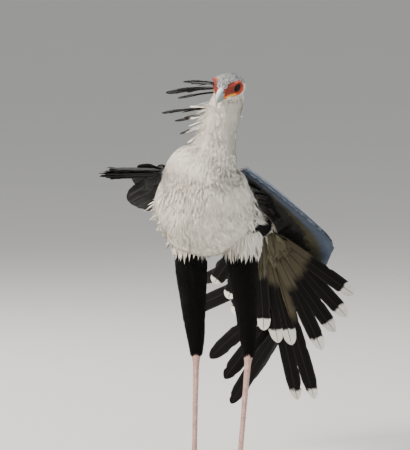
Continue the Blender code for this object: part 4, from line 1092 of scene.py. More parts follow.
def build_skin(settings, head, material):
    """Melt trunk, head, brows and thighs into one skin under the coat."""
    limbs = [
        (tube_surface(shrink_rows(SPINE, settings.depth), LEFT), 90, 48),
        (tube_surface(shrink_rows(HEAD_ROWS, 0.0012), (1, 0, 0), True), 60, 40),
        (tube_surface(shrink_rows(LEFT_THIGH, 0.0035), (1, 0, 0)), 50, 28),
        (tube_surface(shrink_rows(RIGHT_THIGH, 0.0035), (1, 0, 0)), 50, 28),
    ]
    for side in (1, -1):
        brow = [(out * side, -forward, height, thick, thick) for forward, out, height, thick in BROW]
        limbs.append((tube_surface(brow, (1, 0, 0), True), 24, 12))
    points, faces, start = [], [], 0
    for surface, rows, columns in limbs:
        some, corners = closed_tube(surface, rows, columns)
        points.append(some.reshape(-1, 3))
        faces.append(corners + start)
        start += len(points[-1])
    raw = plain_object("skin_raw", np.concatenate(points), np.concatenate(faces))
    remesh = raw.modifiers.new("melted", "REMESH")
    remesh.mode = "VOXEL"
    remesh.voxel_size = SKIN_VOXEL
    soften = raw.modifiers.new("softened", "SMOOTH")
    soften.factor = 0.5
    soften.iterations = 6
    depsgraph = bpy.context.evaluated_depsgraph_get()
    mesh = bpy.data.meshes.new_from_object(raw.evaluated_get(depsgraph))
    bpy.data.objects.remove(raw, do_unlink=True)
    points = np.empty(len(mesh.vertices) * 3, dtype=np.float32)
    mesh.vertices.foreach_get("co", points)
    points = points.reshape(-1, 3).astype(float)
    points = open_sockets(points)
    corners = np.empty(len(mesh.loops), dtype=np.int32)
    mesh.loops.foreach_get("vertex_index", corners)
    faces = corners.reshape(-1, 4)
    bpy.data.meshes.remove(mesh)
    return make_piece("body_skin", points, faces, material, values=marks(points))


def open_sockets(points):
    """Press the skin back round each eye, so that the ball and its lids stand in a socket."""
    for side in (1, -1):
        centre = np.array(to_world(side * EYE_OUT, EYE_FORWARD, 0.0)) + MOVE
        look = unit(np.array(to_world(side, EYE_LOOK, 0.0)) - np.array(EYE_MIDDLE))
        away = points - centre
        ahead = away @ look
        off = np.linalg.norm(away - ahead[:, None] * look, axis=1)
        deep = (1.0 - smooth(0.0088, 0.0128, off)) * np.maximum(ahead - 0.0005, 0.0) * (ahead > 0)
        points = points - look * deep[:, None]
    return points


def in_trunk(points):
    return tube_ratio(SPINE, LEFT, points)


def in_head(points):
    return tube_ratio(HEAD_ROWS, (1, 0, 0), points, True)


def keep_roots(surface, roots, allowed):
    """Keep only the roots that a test allows."""
    place, turn = roots
    kept = allowed(surface(place, turn))
    return place[kept], turn[kept]


NECK_PLACE = 0.60


def combed(place, turn):
    """Give how far the feathers lean sideways: slow waves over the body, as wind and preening leave them."""
    return (0.16 * np.sin(17.0 * place + 9.0 * np.sin(math.tau * turn + 1.0))
            + 0.10 * np.sin(41.0 * place - 2.0 * math.tau * turn) + 0.06 * np.sin(97.0 * place + 5.0 * math.tau * turn))


def grow_trunk_coat(settings, material, draw):
    """Cover neck and body with one coat, short and narrow above, long and silky on the breast."""
    trunk = tube_surface(SPINE, LEFT)

    def free(points):
        below = (tube_ratio(LEFT_THIGH, (1, 0, 0), points) > 0.98) & (tube_ratio(
            RIGHT_THIGH, (1, 0, 0), points) > 0.98)
        return (in_head(points) > 0.99) & below

    for name, first, last, spacing in (("body", 0.02, NECK_PLACE, 0.74), ("neck", NECK_PLACE, 0.985, 0.58)):
        roots = keep_roots(trunk, strew(trunk, settings.spacing * spacing, draw, first, last), free)
        place = roots[0]
        length = np.interp(place, (0.0, 0.22, 0.45, 0.60, 0.72, 0.85, 1.0),
                           (0.020, 0.038, 0.045, 0.040, 0.032, 0.023, 0.014))
        width = np.interp(place, (0.0, 0.45, 0.72, 1.0), (0.0060, 0.0054, 0.0040, 0.0030))
        coat = lay_feathers(trunk, roots, -1, length, width, draw, columns=4, depth=settings.depth, rise=0.0004,
                            uv_box=(0.0, 0.0, 0.60, 1.0), marks=coat_marks, fray=0.22, lift=-0.008,
                            drift=combed(*roots), swing=0.05, steep=2.6, ruffle=0.00006, droop=0.03, profile=HAIR_PROFILE)
        make_coat("coat_" + name, coat, material, "white_feathers", (4 * 3, 5 * 4))


def grow_head_coat(settings, material, draw):
    """Cover the head with its smallest feathers, leaving the bare face and the bill free."""
    skull = tube_surface(HEAD_ROWS, (1, 0, 0), True)

    def free(points):
        out, forward, height = head_coordinates(points)
        return (in_trunk(points) > 0.97) & (bare_face(points) < 0.30) & (forward < 0.0385)

    roots = keep_roots(skull, strew(skull, settings.spacing * 0.38, draw, 0.02, 0.985), free)
    length = 0.0052 + 0.0062 * (1.0 - smooth(0.25, 0.75, roots[0]))
    head = lay_feathers(skull, roots, -1, length, 0.0021, draw, rows=4, columns=3, depth=0.0012, rise=0.0006,
                        uv_box=(0.62, 0.0, 0.80, 0.45), marks=head_marks, fray=0.30, lift=0.02,
                        steep=1.8, ruffle=0.00006, droop=0.06, profile=HAIR_PROFILE)
    make_coat("coat_head", head, material, "white_feathers", (3 * 2, 4 * 3))


def grow_thigh_coats(settings, material, draw):
    """Cover both thighs with short black feathers that point down to the ankle."""
    for name, rows, box in (("left", LEFT_THIGH, (0.82, 0.0, 0.90, 0.45)),
                            ("right", RIGHT_THIGH, (0.92, 0.0, 1.0, 0.45))):
        thigh = tube_surface(rows, (1, 0, 0))
        roots = strew(thigh, settings.spacing * 0.80, draw, 0.12, 0.985)
        roots = keep_roots(thigh, roots, lambda points: in_trunk(points) > 1.0)
        length = 0.011 + 0.012 * (1.0 - smooth(0.35, 0.95, roots[0]))
        coat = lay_feathers(thigh, roots, 1, length, 0.0060, draw, rows=4, columns=5, depth=0.0035, rise=0.0006,
                            uv_box=box, marks=black_marks, fray=0.30, lift=0.03)
        make_coat("coat_thigh_" + name, coat, material, "black_feathers", (12, 20))


def lay_locks(name, starts, tips, faces_to, widths, material, slot, draw, uv_box, rows=8, columns=5, bow=0.003,
              dark=0.0, grey=0.1):
    """Hang thin tapered locks between given points, as one coat piece."""
    starts, tips, faces_to = (np.asarray(item, float) for item in (starts, tips, faces_to))
    number = len(starts)
    along = np.linspace(0.0, 1.0, rows)
    run = tips - starts
    ahead = unit(run)
    side = unit(np.cross(ahead, faces_to))
    up = np.cross(side, ahead)
    bend = draw.normal(0.0, 1.0, (number, 2)) * bow
    arch = 4.0 * along * (1.0 - along)
    centre = (starts[:, None] + run[:, None] * along[:, None]
              + up[:, None] * (bow + bend[:, :1] * 0.5)[..., None] * arch[:, None]
              + side[:, None] * bend[:, 1:, None] * arch[:, None])
    shares = np.interp(along, [item[0] for item in LOCK_OUTLINE], [item[1] for item in LOCK_OUTLINE])
    spread = np.linspace(-1.0, 1.0, columns)
    half = 0.5 * np.asarray(widths)[:, None, None] * shares[None, :, None] * spread[None, None, :]
    ragged = 1.0 - 0.10 * spread ** 2 - 0.20 * draw.random((number, columns))
    back = (along[None, :, None] ** 2 * (ragged[:, None, :] - 1.0)) * np.linalg.norm(run, axis=1)[:, None, None]
    height = -0.25 * np.abs(half) * np.abs(spread)
    points = (centre[:, :, None] + side[:, None, None] * half[..., None] + ahead[:, None, None] * back[..., None]
              + up[:, None, None] * height[..., None])
    left, low, right, high = uv_box
    root_u = left + (right - left) * (np.arange(number) + 0.5) / number
    grid_u = np.broadcast_to((spread + 1) / 2, (number, rows, columns))
    grid_v = np.broadcast_to(along[:, None], (number, rows, columns))
    bake = np.stack((root_u[:, None, None] + (grid_u - 0.5) * 0.003,
                     (low + high) / 2 + (grid_v - 0.5) * 0.003), axis=-1)
    uvs = {"Feather": np.stack((grid_u, grid_v), axis=-1).reshape(-1, 2), "OFBake": bake.reshape(-1, 2)}
    each = rows * columns
    values = {"tone": np.repeat(draw.random(number), each), "dark": np.full(number * each, dark),
              "grey": np.full(number * each, grey), "lie": np.repeat(unit(faces_to), each, axis=0)}
    arrays = (points.reshape(-1, 3) + MOVE, grid_faces(number, rows, columns), uvs, values)
    make_coat(name, arrays, material, slot, ((rows - 1) * (columns - 1), each))


FRILL_RINGS = ((0.550, 0.500, 0.0040), (0.556, 0.508, 0.0065), (0.560, 0.517, 0.0090), (0.564, 0.528, 0.0110))
FRILLS_A_RING = 110


def grow_frills(material, draw):
    """Hang the white silky fringe of the belly over the top of each thigh."""
    starts, tips, faces_to, widths = [], [], [], []
    for rows in (LEFT_THIGH, RIGHT_THIGH):
        middle = np.array(rows[1][:3])
        half_wide, half_deep = rows[1][3:]
        for top, end, clear in FRILL_RINGS:
            for index in range(FRILLS_A_RING):
                angle = math.radians(125.0) * (2 * (index + draw.uniform(-0.4, 0.4)) / (FRILLS_A_RING - 1) - 1)
                outward = np.array((math.sin(angle), -math.cos(angle), 0.0))
                at = np.array((middle[0] + (half_wide + clear) * outward[0],
                               middle[1] + (half_deep + clear) * outward[1], 0.0))
                swing = draw.normal(0.0, 0.003, 2)
                starts.append(at - outward * 0.006 + (0, 0, top))
                tips.append(at + outward * 0.001 + (swing[0], swing[1], end + draw.uniform(-0.010, 0.022)))
                faces_to.append(outward)
                widths.append(draw.uniform(0.0022, 0.0062))
    lay_locks("coat_frills", starts, tips, faces_to, widths, material, "white_feathers", draw,
              (0.02, 0.10, 0.58, 0.12), bow=0.0025)


NAPE_WISPS = 90
FLANK_WISPS = 170
CHIN_WISPS = 420


def grow_chin(material, draw):
    """Hang the fluffy throat from under the jaw, over the seam of head and neck."""
    starts, tips, faces_to, widths = [], [], [], []
    for index in range(CHIN_WISPS):
        round_jaw = draw.uniform(-1.0, 1.0)
        back = draw.uniform(0.0, 1.0)
        at = np.array(to_world(0.026 * math.sin(round_jaw * 1.4) * (1 - 0.3 * back),
                               0.026 - 0.040 * abs(round_jaw) - 0.010 * back, -0.0150 - 0.003 * back))
        outward = unit(at - np.array((0.030, -0.046, at[2])))
        starts.append(at)
        tips.append(at + outward * draw.uniform(0.002, 0.010)
                    + (draw.normal(0.0, 0.003), draw.normal(0.0, 0.002), -draw.uniform(0.012, 0.028)))
        faces_to.append(outward)
        widths.append(draw.uniform(0.0016, 0.0040))
    lay_locks("coat_chin", starts, tips, faces_to, widths, material, "white_feathers", draw,
              (0.62, 0.46, 0.80, 0.48), rows=6, columns=4, bow=0.0015)


def grow_loose_locks(material, draw):
    """Hang the loose white tufts of the flanks and the nape."""
    starts, tips, faces_to, widths = [], [], [], []
    for start, tip, width in FLANK_LOCKS:
        start, tip = np.array(start), np.array(tip)
        for copy in range(16):
            slide = draw.normal(0.0, 1.0, 3) * (0.004, 0.010, 0.009)
            starts.append(start + slide)
            tips.append(start + (tip - start) * draw.uniform(0.72, 1.02) + slide
                        + draw.normal(0.0, 1.0, 3) * (0.003, 0.005, 0.004))
            faces_to.append((start[0], 0.0, 0.02))
            widths.append(width * draw.uniform(0.12, 0.34))
    for index in range(FLANK_WISPS):
        rise = draw.random()
        at = np.array((0.050 + 0.020 * (1 - rise), -0.010 + 0.050 * draw.random(), 0.590 + 0.105 * rise))
        starts.append(at)
        tips.append(at + (draw.uniform(0.008, 0.024), draw.uniform(0.016, 0.040), -draw.uniform(0.016, 0.040)))
        faces_to.append((0.75, -0.65, 0.0))
        widths.append(draw.uniform(0.0030, 0.0085))
    for index in range(NAPE_WISPS):
        rise = draw.random()
        at = np.array((0.020 - 0.030 * (1 - rise), -0.046, 0.770 + 0.088 * rise)) + draw.normal(0, 1, 3) * (
            0.004, 0.012, 0.002)
        starts.append(at)
        tips.append(at + np.array((-draw.uniform(0.028, 0.062), draw.uniform(-0.004, 0.030),
                                   -draw.uniform(0.006, 0.030))))
        faces_to.append(CREST_FACE)
        widths.append(draw.uniform(0.0016, 0.0042))
    lay_locks("coat_flank_locks", starts, tips, faces_to, widths, material, "white_feathers", draw,
              (0.02, 0.30, 0.58, 0.32), bow=0.003)


# Wings and tail

FLIGHT_START = 0.12
FACE_TURN = 1.6
FAN_RADIUS = 0.34
FLIGHT_TILT = math.radians(7.0)
BED_REACH = 0.40
BED_THICK = 0.0086
BED_SHAPE = ((-0.060, 0.0), (-0.052, 0.42), (-0.030, 0.70), (0.0, 0.86), (0.05, 0.92), (0.16, 0.82),
             (0.50, 0.44), (1.0, 0.13), (1.5, 0.12), (3.0, 0.12))


def wing_lines(bones, tips, starts):
    """Give each flight feather's start, tip and the wing's normal there, as arrays."""
    count = len(tips)
    share = np.linspace(0.0, 1.0, count)
    places = starts[0] + (starts[1] - starts[0]) * share
    start = curve(bones, places)
    tip = np.asarray(tips, float)
    along = curve(bones, places + 0.03) - curve(bones, places - 0.03)
    normal = unit(np.cross(tip - start, along))
    for index in range(1, count):
        if normal[index] @ normal[index - 1] < 0.0:
            normal[index] = -normal[index]
    return start, tip, normal


def fan_normals(start, tip, normal):
    """Give the way each feather faces at its tip: square to the fan that its neighbours spread."""
    far = start + unit(tip - start) * FAN_RADIUS
    count = len(far)
    faces = []
    for index in range(count):
        along = far[min(index + 1, count - 1)] - far[max(index - 1, 0)]
        face = unit(np.cross(tip[index] - start[index], along))
        faces.append(-face if face @ normal[index] < 0.0 else face)
    return np.array(faces)


def bed_surface(lines, side, reach, thick):
    """Give a function that reads one face of a wing's or tail's bed, along and across its feathers."""
    start, tip, normal = lines
    rows = np.concatenate((start, tip, normal), axis=1)
    shape = np.array(BED_SHAPE)

    def surface(place, turn):
        row = curve(rows, np.clip(turn, 0.0, 1.0))
        begin, end, up = row[..., :3], row[..., 3:6], unit(row[..., 6:9])
        part = place / reach
        high = np.interp(part, shape[:, 0], shape[:, 1]) * thick
        return begin + (end - begin) * place[..., None] + up * (side * high)[..., None] + MOVE

    surface.outward = side
    return surface


def bed_piece(name, lines, reach, thick, material, marks_at):
    """Make the closed flesh of a wing or tail under its coverts."""
    upper = bed_surface(lines, 1.0, reach, thick - 0.001)
    under = bed_surface(lines, -1.0, reach, thick - 0.001)
    parts = np.array([item[0] for item in BED_SHAPE[:8]]) * reach
    parts = np.interp(np.linspace(0, 7, 22), np.arange(8), parts)
    turns = np.linspace(0.0, 1.0, 70)
    turn, place = np.meshgrid(turns, parts, indexing="ij")
    points = np.concatenate((upper(place, turn), under(place, turn)[:, ::-1]), axis=1)
    ends = [points[:1].mean(axis=1, keepdims=True).repeat(points.shape[1], axis=1),
            points[-1:].mean(axis=1, keepdims=True).repeat(points.shape[1], axis=1)]
    points = np.concatenate((ends[0], points, ends[1]), axis=0)
    faces = grid_faces(1, len(points), points.shape[1], closed=True)
    flat = points.reshape(-1, 3)
    values = {"bare": np.zeros(len(flat)), "gape": np.zeros(len(flat)), "umber": np.zeros(len(flat)),
              **marks_at(flat)}
    return make_piece(name, points, faces, material, values=values)


def covert_rows(surface, table, draw, uv_box):
    """Lay rows of coverts: place, feather length, width, spacing, greyness and darkness of each row."""
    parts = []
    for place, length, width, spacing, grey, dark in table:
        turns = np.linspace(0.0, 1.0, 80)
        ring = surface(np.full(80, place), turns)
        around = np.linalg.norm(np.diff(ring, axis=0), axis=1).sum()
        number = max(int(around / spacing), 4)
        turn = (np.arange(number) + 0.5) / number + draw.uniform(-0.2, 0.2, number) / number
        places = np.full(number, place) + draw.normal(0.0, 0.002, number)
        found = {"grey": np.full(number, grey), "dark": dark + draw.uniform(-0.12, 0.12, number)}
        parts.append(lay_feathers(surface, (places, turn), 1, length, width, draw, rows=6, columns=5, depth=0.001,
                                  rise=0.0010 + 0.012 * width, uv_box=uv_box, marks=lambda points: found,
                                  fray=0.08, swing=0.06, lift=0.01))
    return join_arrays(parts)


# Rows of coverts: place along the feathers, length, width, spacing, greyness, darkness
LEFT_UPPER_ROWS = ((-0.018, 0.012, 0.010, 0.0060, 1, 0), (-0.006, 0.014, 0.011, 0.0060, 1, 0),
                   (0.008, 0.016, 0.012, 0.0065, 1, 0), (0.022, 0.018, 0.013, 0.0070, 1, 0),
                   (0.038, 0.020, 0.014, 0.0075, 1, 0), (0.055, 0.024, 0.016, 0.0085, 1, 0),
                   (0.075, 0.030, 0.019, 0.0100, 1, 0), (0.100, 0.040, 0.022, 0.0115, 1, 0),
                   (0.130, 0.052, 0.025, 0.0130, 1, 0), (0.165, 0.075, 0.028, 0.0150, 1, 0.2),
                   (0.210, 0.100, 0.031, 0.0165, 1, 0.5))
# The under rows darken inwards to black: painted shade for the deep shade under the wing, together with the black
# flight feathers beneath
LEFT_UNDER_ROWS = ((-0.018, 0.012, 0.008, 0.0050, 1, 0), (-0.008, 0.013, 0.009, 0.0052, 1, 0),
                   (0.002, 0.015, 0.010, 0.0055, 0.9, 0), (0.014, 0.017, 0.011, 0.0060, 0.6, 0),
                   (0.028, 0.020, 0.013, 0.0070, 0.3, 0), (0.044, 0.025, 0.015, 0.0080, 0, 0.1),
                   (0.062, 0.031, 0.018, 0.0095, 0, 0.32), (0.085, 0.038, 0.021, 0.0110, 0, 0.50),
                   (0.115, 0.050, 0.024, 0.0130, 0, 0.70), (0.150, 0.066, 0.027, 0.0150, 0, 0.9),
                   (0.205, 0.095, 0.031, 0.0150, 0, 1), (0.275, 0.115, 0.034, 0.0160, 0, 1))
RIGHT_ROWS = ((-0.018, 0.010, 0.009, 0.0055, 1, 0.2), (-0.004, 0.013, 0.010, 0.0055, 1, 0.4),
              (0.012, 0.015, 0.011, 0.0060, 1, 0.9), (0.030, 0.018, 0.013, 0.0070, 0, 1),
              (0.055, 0.026, 0.016, 0.0085, 0, 1), (0.085, 0.038, 0.020, 0.0100, 0, 1),
              (0.125, 0.054, 0.024, 0.0125, 0, 1), (0.180, 0.078, 0.028, 0.0150, 0, 1),
              (0.250, 0.095, 0.030, 0.0160, 0, 1))
TAIL_ROWS = ((0.00, 0.050, 0.015, 0.0060, 0.3, 0), (0.05, 0.056, 0.016, 0.0065, 0.6, 0),
             (0.10, 0.060, 0.018, 0.0070, 0.9, 0))


# Feathers besides the spread row: the folded hand on the right, the innermost ones on the left
EXTRA_COUNT = 14
LEFT_INNER_FEATHERS = (((0.086, 0.185, 0.652), (0.060, 0.385, 0.634)),
                       ((0.122, 0.183, 0.633), (0.074, 0.398, 0.608)),
                       ((0.122, 0.263, 0.596), (0.068, 0.428, 0.568)),
                       ((0.137, 0.303, 0.570), (0.072, 0.438, 0.528)))
LEFT_INNER_FACE = (-0.52, -0.20, -0.83)


def make_wing(name, lines, upper_rows, under_rows, extra, extra_face, materials, flight, draw):
    """Build one wing: its flesh, flight feathers one by one, and the coverts on both faces."""
    plumage, underwing, flight_black, skin = materials
    upper_side = -1.0 if name == "left" else 1.0
    bed = bed_piece(f"wing_{name}_flesh", lines, BED_REACH, BED_THICK, skin,
                    grey_marks if name == "left" else black_marks)
    dress(bed, "wing_feathers", "wing_" + name)
    start, tip, normal = lines
    fans = fan_normals(start, tip, normal)
    parts = []
    for index in range(len(start)):
        parts.append(long_feather(start[index] + (tip[index] - start[index]) * FLIGHT_START, tip[index],
                                  normal[index], flight.wing_width, flight.vane_thick, draw,
                                  tip_face=fans[index], tilt=FLIGHT_TILT, bow=0.002 * draw.uniform(-1, 1),
                                  sweep=draw.uniform(-0.004, 0.004), camber=0.05, lean=0.10,
                                  splits=5, values={"pale": 0.0}))
    ends = np.array([(*begin, *end) for begin, end in extra])
    for row in curve(ends, np.linspace(0.0, 1.0, EXTRA_COUNT)):
        far = row[:3] + (row[3:] - row[:3]) * draw.uniform(0.86, 1.0)
        parts.append(long_feather(row[:3], far, extra_face, flight.wing_width * 0.95, flight.vane_thick,
                                  draw, bow=0.003 * draw.uniform(-1, 1), sweep=0.004, camber=0.08, lean=0.10,
                                  tilt=draw.uniform(-0.10, 0.25), splits=4, values={"pale": 0.0}))
    points, faces, uvs, values = join_arrays(parts)
    feathers = make_piece(f"wing_{name}_flight_feathers", points, faces, flight_black, uvs, values)
    dress(feathers, "wing_feathers")
    per = (5 * 4, 6 * 5)
    upper = bed_surface(lines, upper_side, BED_REACH, BED_THICK)
    under = bed_surface(lines, -upper_side, BED_REACH, BED_THICK)
    box = (0.62, 0.50, 0.80, 0.72) if name == "left" else (0.82, 0.50, 1.0, 0.72)
    make_coat(f"wing_{name}_upper_coverts", covert_rows(upper, upper_rows, draw, box), plumage,
              "wing_feathers", per)
    box = (0.62, 0.76, 0.80, 0.98) if name == "left" else (0.82, 0.76, 1.0, 0.98)
    make_coat(f"wing_{name}_under_coverts", covert_rows(under, under_rows, draw, box), underwing,
              "wing_feathers", per)


TAIL_ROOT_HALF_STEPS = (5, 4, 3, 2, 1, 0, 1, 0, 2, 3, 4, 5)
TAIL_STEP = 0.0022
TAIL_START = 0.04
TAIL_BANDS = (0.48, 0.46, 0.46, 0.46, 0.48, 0.52, 0.48, 0.52, 0.48, 0.46, 0.46, 0.46)
TAIL_WHITES = (0.92, 0.91, 0.90, 0.88, 0.88, 0.945, 0.86, 0.945, 0.90, 0.90, 0.895, 0.88)


def tail_lines():
    """Give each tail feather's start, tip and the way it faces, stepped in height outwards."""
    last = len(TAIL_TIPS) - 1
    starts, tips, normals = [], [], []
    for index, tip in enumerate(TAIL_TIPS):
        start = TAIL_ROOT + LEFT * TAIL_ROOT_HALF * (2 * index / last - 1)
        normal = (Vector(tip) - start).cross(LEFT).normalized()
        if normal.y > 0.0:
            normal = -normal
        lift = normal * TAIL_STEP * TAIL_ROOT_HALF_STEPS[index]
        starts.append(start + lift)
        tips.append(Vector(tip) + lift)
        normals.append(normal)
    return np.array(starts), np.array(tips), np.array(normals)


def make_tail(materials, flight, draw):
    """Build the tail: twelve banded feathers, the flesh at their roots and the coverts over it."""
    plumage, tail_banded, skin = materials
    lines = tail_lines()
    start, tip, normal = lines
    bed = bed_piece("tail_flesh", lines, 0.18, 0.0055, skin, pale_marks)
    dress(bed, "tail_feathers", "tail")
    parts = []
    for index in range(len(start)):
        parts.append(long_feather(start[index] + (tip[index] - start[index]) * TAIL_START, tip[index],
                                  normal[index], flight.tail_width, flight.vane_thick, draw,
                                  bow=0.003 * draw.uniform(-1, 1), sweep=draw.uniform(-0.003, 0.003),
                                  camber=0.05, splits=5,
                                  values={"band": TAIL_BANDS[index], "tip": TAIL_WHITES[index]}))
    points, faces, uvs, values = join_arrays(parts)
    feathers = make_piece("tail_feathers", points, faces, tail_banded, uvs, values)
    dress(feathers, "tail_feathers")
    per = (5 * 4, 6 * 5)
    for name, side, box in (("under", 1.0, (0.02, 0.34, 0.28, 0.40)), ("upper", -1.0, (0.32, 0.34, 0.58, 0.40))):
        face = bed_surface(lines, side, 0.18, 0.0065)
        make_coat(f"tail_{name}_coverts", covert_rows(face, TAIL_ROWS, draw, box), plumage,
                  "tail_feathers", per)
    starts, tips, faces_to, widths = [], [], [], []
    for begin, end, width in VENT_PLUMES:
        for copy in range(9):
            slide = draw.normal(0.0, 1.0, 3) * (0.005, 0.003, 0.003)
            starts.append(np.array(begin) + slide)
            tips.append(np.array(end) + slide * 1.2 + (0.0, 0.0, draw.uniform(-0.002, 0.045)))
            faces_to.append((0.0, -1.0, 0.0))
            widths.append(width * draw.uniform(0.16, 0.36))
    lay_locks("coat_vent_plumes", starts, tips, faces_to, widths, plumage, "tail_feathers", draw,
              (0.02, 0.42, 0.58, 0.44), rows=10, bow=0.004, grey=0.7)


NEVER = 2.0
NAPE_BANDS = (0.28, NEVER, 0.62, NEVER, 0.80, NEVER, NEVER, 0.30, 0.35, 0.50, NEVER)


# The loose vane of a plume spreads this much wider than the room kept for it
PLUME_SPREAD = 1.25


def make_plumes(materials, draw):
    """Build the loose crest and nape plumes, spoon-shaped, each with two thinner neighbours."""
    parts = []
    for plumes, bands, bow in ((CREST_PLUMES, (0.04,) * len(CREST_PLUMES), 0.004), (NAPE_PLUMES, NAPE_BANDS, 0.003)):
        for (start, tip, width), band in zip(plumes, bands):
            start, tip = np.array(start), np.array(tip)
            for scale, reach, stray in ((1.0, 1.0, 0.0), (0.42, 0.80, 1.0), (0.34, 0.66, 1.0)):
                wander = draw.normal(0.0, 1.0, 3) * 0.0045 * stray
                end = start + (tip - start) * reach + wander
                wide = width * scale * PLUME_SPREAD
                parts.append(long_feather(start + wander * 0.4, end, CREST_FACE, wide, 0.0008, draw,
                                          outline=PLUME_OUTLINE, bow=bow, sweep=draw.uniform(-0.003, 0.003),
                                          camber=0.10, splits=6, rows=26,
                                          values={"band": band, "tip": NEVER}))
    points, faces, uvs, values = join_arrays(parts)
    plumes = make_piece("crest_plumes", points, faces, materials[0], uvs, values)
    dress(plumes, "black_feathers")


# Head

# The horn itself is this much narrower than the room kept for it
BILL_NARROW = 0.84


def make_bill(settings, materials):
    """Build both halves of the hooked bill with cere, nostrils and the line of the gape."""
    horn = materials[0]
    for name, sections, rows in (("upper", UPPER_BILL, 70), ("lower", LOWER_BILL, 50)):
        limb = [(0.0, -forward, height, wide * BILL_NARROW, high) for forward, height, wide, high in sections]
        surface = tube_surface(limb, (1, 0, 0), True)
        points, faces = closed_tube(surface, rows, 48, 0.02, 1.0)
        flat = points.reshape(-1, 3)
        turn = np.broadcast_to(np.arange(48) / 48 * math.tau, (rows + 2, 48)).reshape(-1)
        out, forward, height = head_coordinates(flat)
        middle = np.interp(forward, [item[0] for item in sections[:-1]], [item[1] for item in sections[:-1]])
        top = smooth(0.55, 1.0, -np.sin(turn)) if name == "upper" else np.zeros(len(flat))
        hole = np.zeros(len(flat))
        if name == "upper":
            if height[np.argmax(top)] < middle[np.argmax(top)]:
                top = smooth(0.55, 1.0, np.sin(turn))
            # The nostril slit is pressed in a little and painted dark as painted shade
            slit = ((forward + NOSTRIL.y) / 0.0036) ** 2 + ((height - NOSTRIL.z - 0.35 * (forward + NOSTRIL.y))
                                                         / 0.0014) ** 2
            hole = (1.0 - smooth(0.6, 1.2, slit)) * (np.abs(out) > 0.004)
            push = 0.0016 * hole * np.sign(out)
            flat = flat - (push[:, None] * (HEAD_MATRIX @ np.array((1.0, 0.0, 0.0))))
            ridge = top * 0.0006
            flat = flat + ridge[:, None] * (HEAD_MATRIX @ np.array((0.0, 0.0, 1.0)))
        # ridge marks the top of the upper bill, raised a little and given a painted highlight
        values = {"ridge": top, "hole": hole,
                  "cere": (1.0 - smooth(0.0395, 0.0435, forward + 0.35 * (height - middle))) * 0.75,
                  "end": smooth(0.0640, 0.0690, forward) * 0.7 if name == "upper" else smooth(0.050, 0.060, forward) * 0.5}
        piece = make_piece(f"bill_{name}", flat, faces, horn, values=values)
        dress(piece, "bill_horn", "beak_" + name)


LID_OPEN_WIDE = math.radians(60.0)
LID_OPEN_HIGH = math.radians(51.0)
LID_REACH = math.radians(96.0)
LID_THICK = 0.0011


def eye_axes(side):
    """Give an eye's middle and its look, up and forward directions in the world."""
    centre = np.array(to_world(side * EYE_OUT, EYE_FORWARD, 0.0)) + MOVE
    look = unit(np.array(to_world(side, EYE_LOOK, 0.0)) - np.array(EYE_MIDDLE))
    up = HEAD_MATRIX @ np.array((0.0, 0.0, 1.0))
    up = unit(up - look * (up @ look))
    return centre, look, up, np.cross(up, look) * side


def make_eyes(settings, materials):
    """Build each eyeball with its cornea, and the orange lids with folds round it."""
    eye_wet, lid_skin = materials
    for name, side in (("left", 1), ("right", -1)):
        centre, look, up, ahead = eye_axes(side)
        polar = np.linspace(0.0, math.pi, 40)[:, None]
        turn = np.linspace(0.0, math.tau, 57)[None, :-1]
        radius = EYE_RADIUS - 0.0001 - 0.00035 * smooth(0.5, 0.9, polar)
        direction = (np.cos(polar)[..., None] * look + (np.sin(polar) * np.cos(turn))[..., None] * ahead
                     + (np.sin(polar) * np.sin(turn))[..., None] * up)
        points = centre + direction * radius[..., None]
        uv = np.stack(np.broadcast_arrays(turn / math.tau, polar / math.pi), axis=-1)
        piece = make_piece("eye_ball_" + name, points, grid_faces(1, 40, 56, closed=True), eye_wet,
                           {"Ball": uv.reshape(-1, 2)})
        dress(piece, "eye_wet", "eye_" + name)
        share = np.linspace(0.0, 1.0, 15)[:, None]
        turn = np.linspace(0.0, math.tau, 73)[None, :-1]
        corner = 1.0 + 0.16 * np.clip(np.cos(turn), 0.0, 1.0) ** 6 + 0.12 * np.clip(-np.cos(turn), 0.0, 1.0) ** 6
        high = np.where(np.sin(turn) > 0, LID_OPEN_HIGH * 0.92, LID_OPEN_HIGH * 1.04)
        opening = corner / np.sqrt((np.cos(turn) / LID_OPEN_WIDE) ** 2 + (np.sin(turn) / high) ** 2)
        polar = opening * (1 - share) + LID_REACH * share
        roll = np.interp(share, (0.0, 0.05, 0.12, 0.25, 0.34, 0.50, 0.75, 1.0),
                         (0.0001, 0.75, 1.0, 0.80, 0.50, 0.85, 0.55, 0.15))
        creases = 0.00013 * np.sin(share * 30.0 + 1.5 * np.sin(turn * 3.0)) * smooth(0.1, 0.3, share)
        radius = EYE_RADIUS + LID_THICK * roll + creases
        direction = (np.cos(polar)[..., None] * look + (np.sin(polar) * np.cos(turn))[..., None] * ahead
                     + (np.sin(polar) * np.sin(turn))[..., None] * up)
        points = centre + direction * radius[..., None]
        uv = np.stack(np.broadcast_arrays(turn / math.tau, share), axis=-1)
        lids = make_piece("eyelids_" + name, points, grid_faces(1, 15, 72, closed=True), lid_skin,
                          {"Lid": uv.reshape(-1, 2)})
        dress(lids, "face_skin")


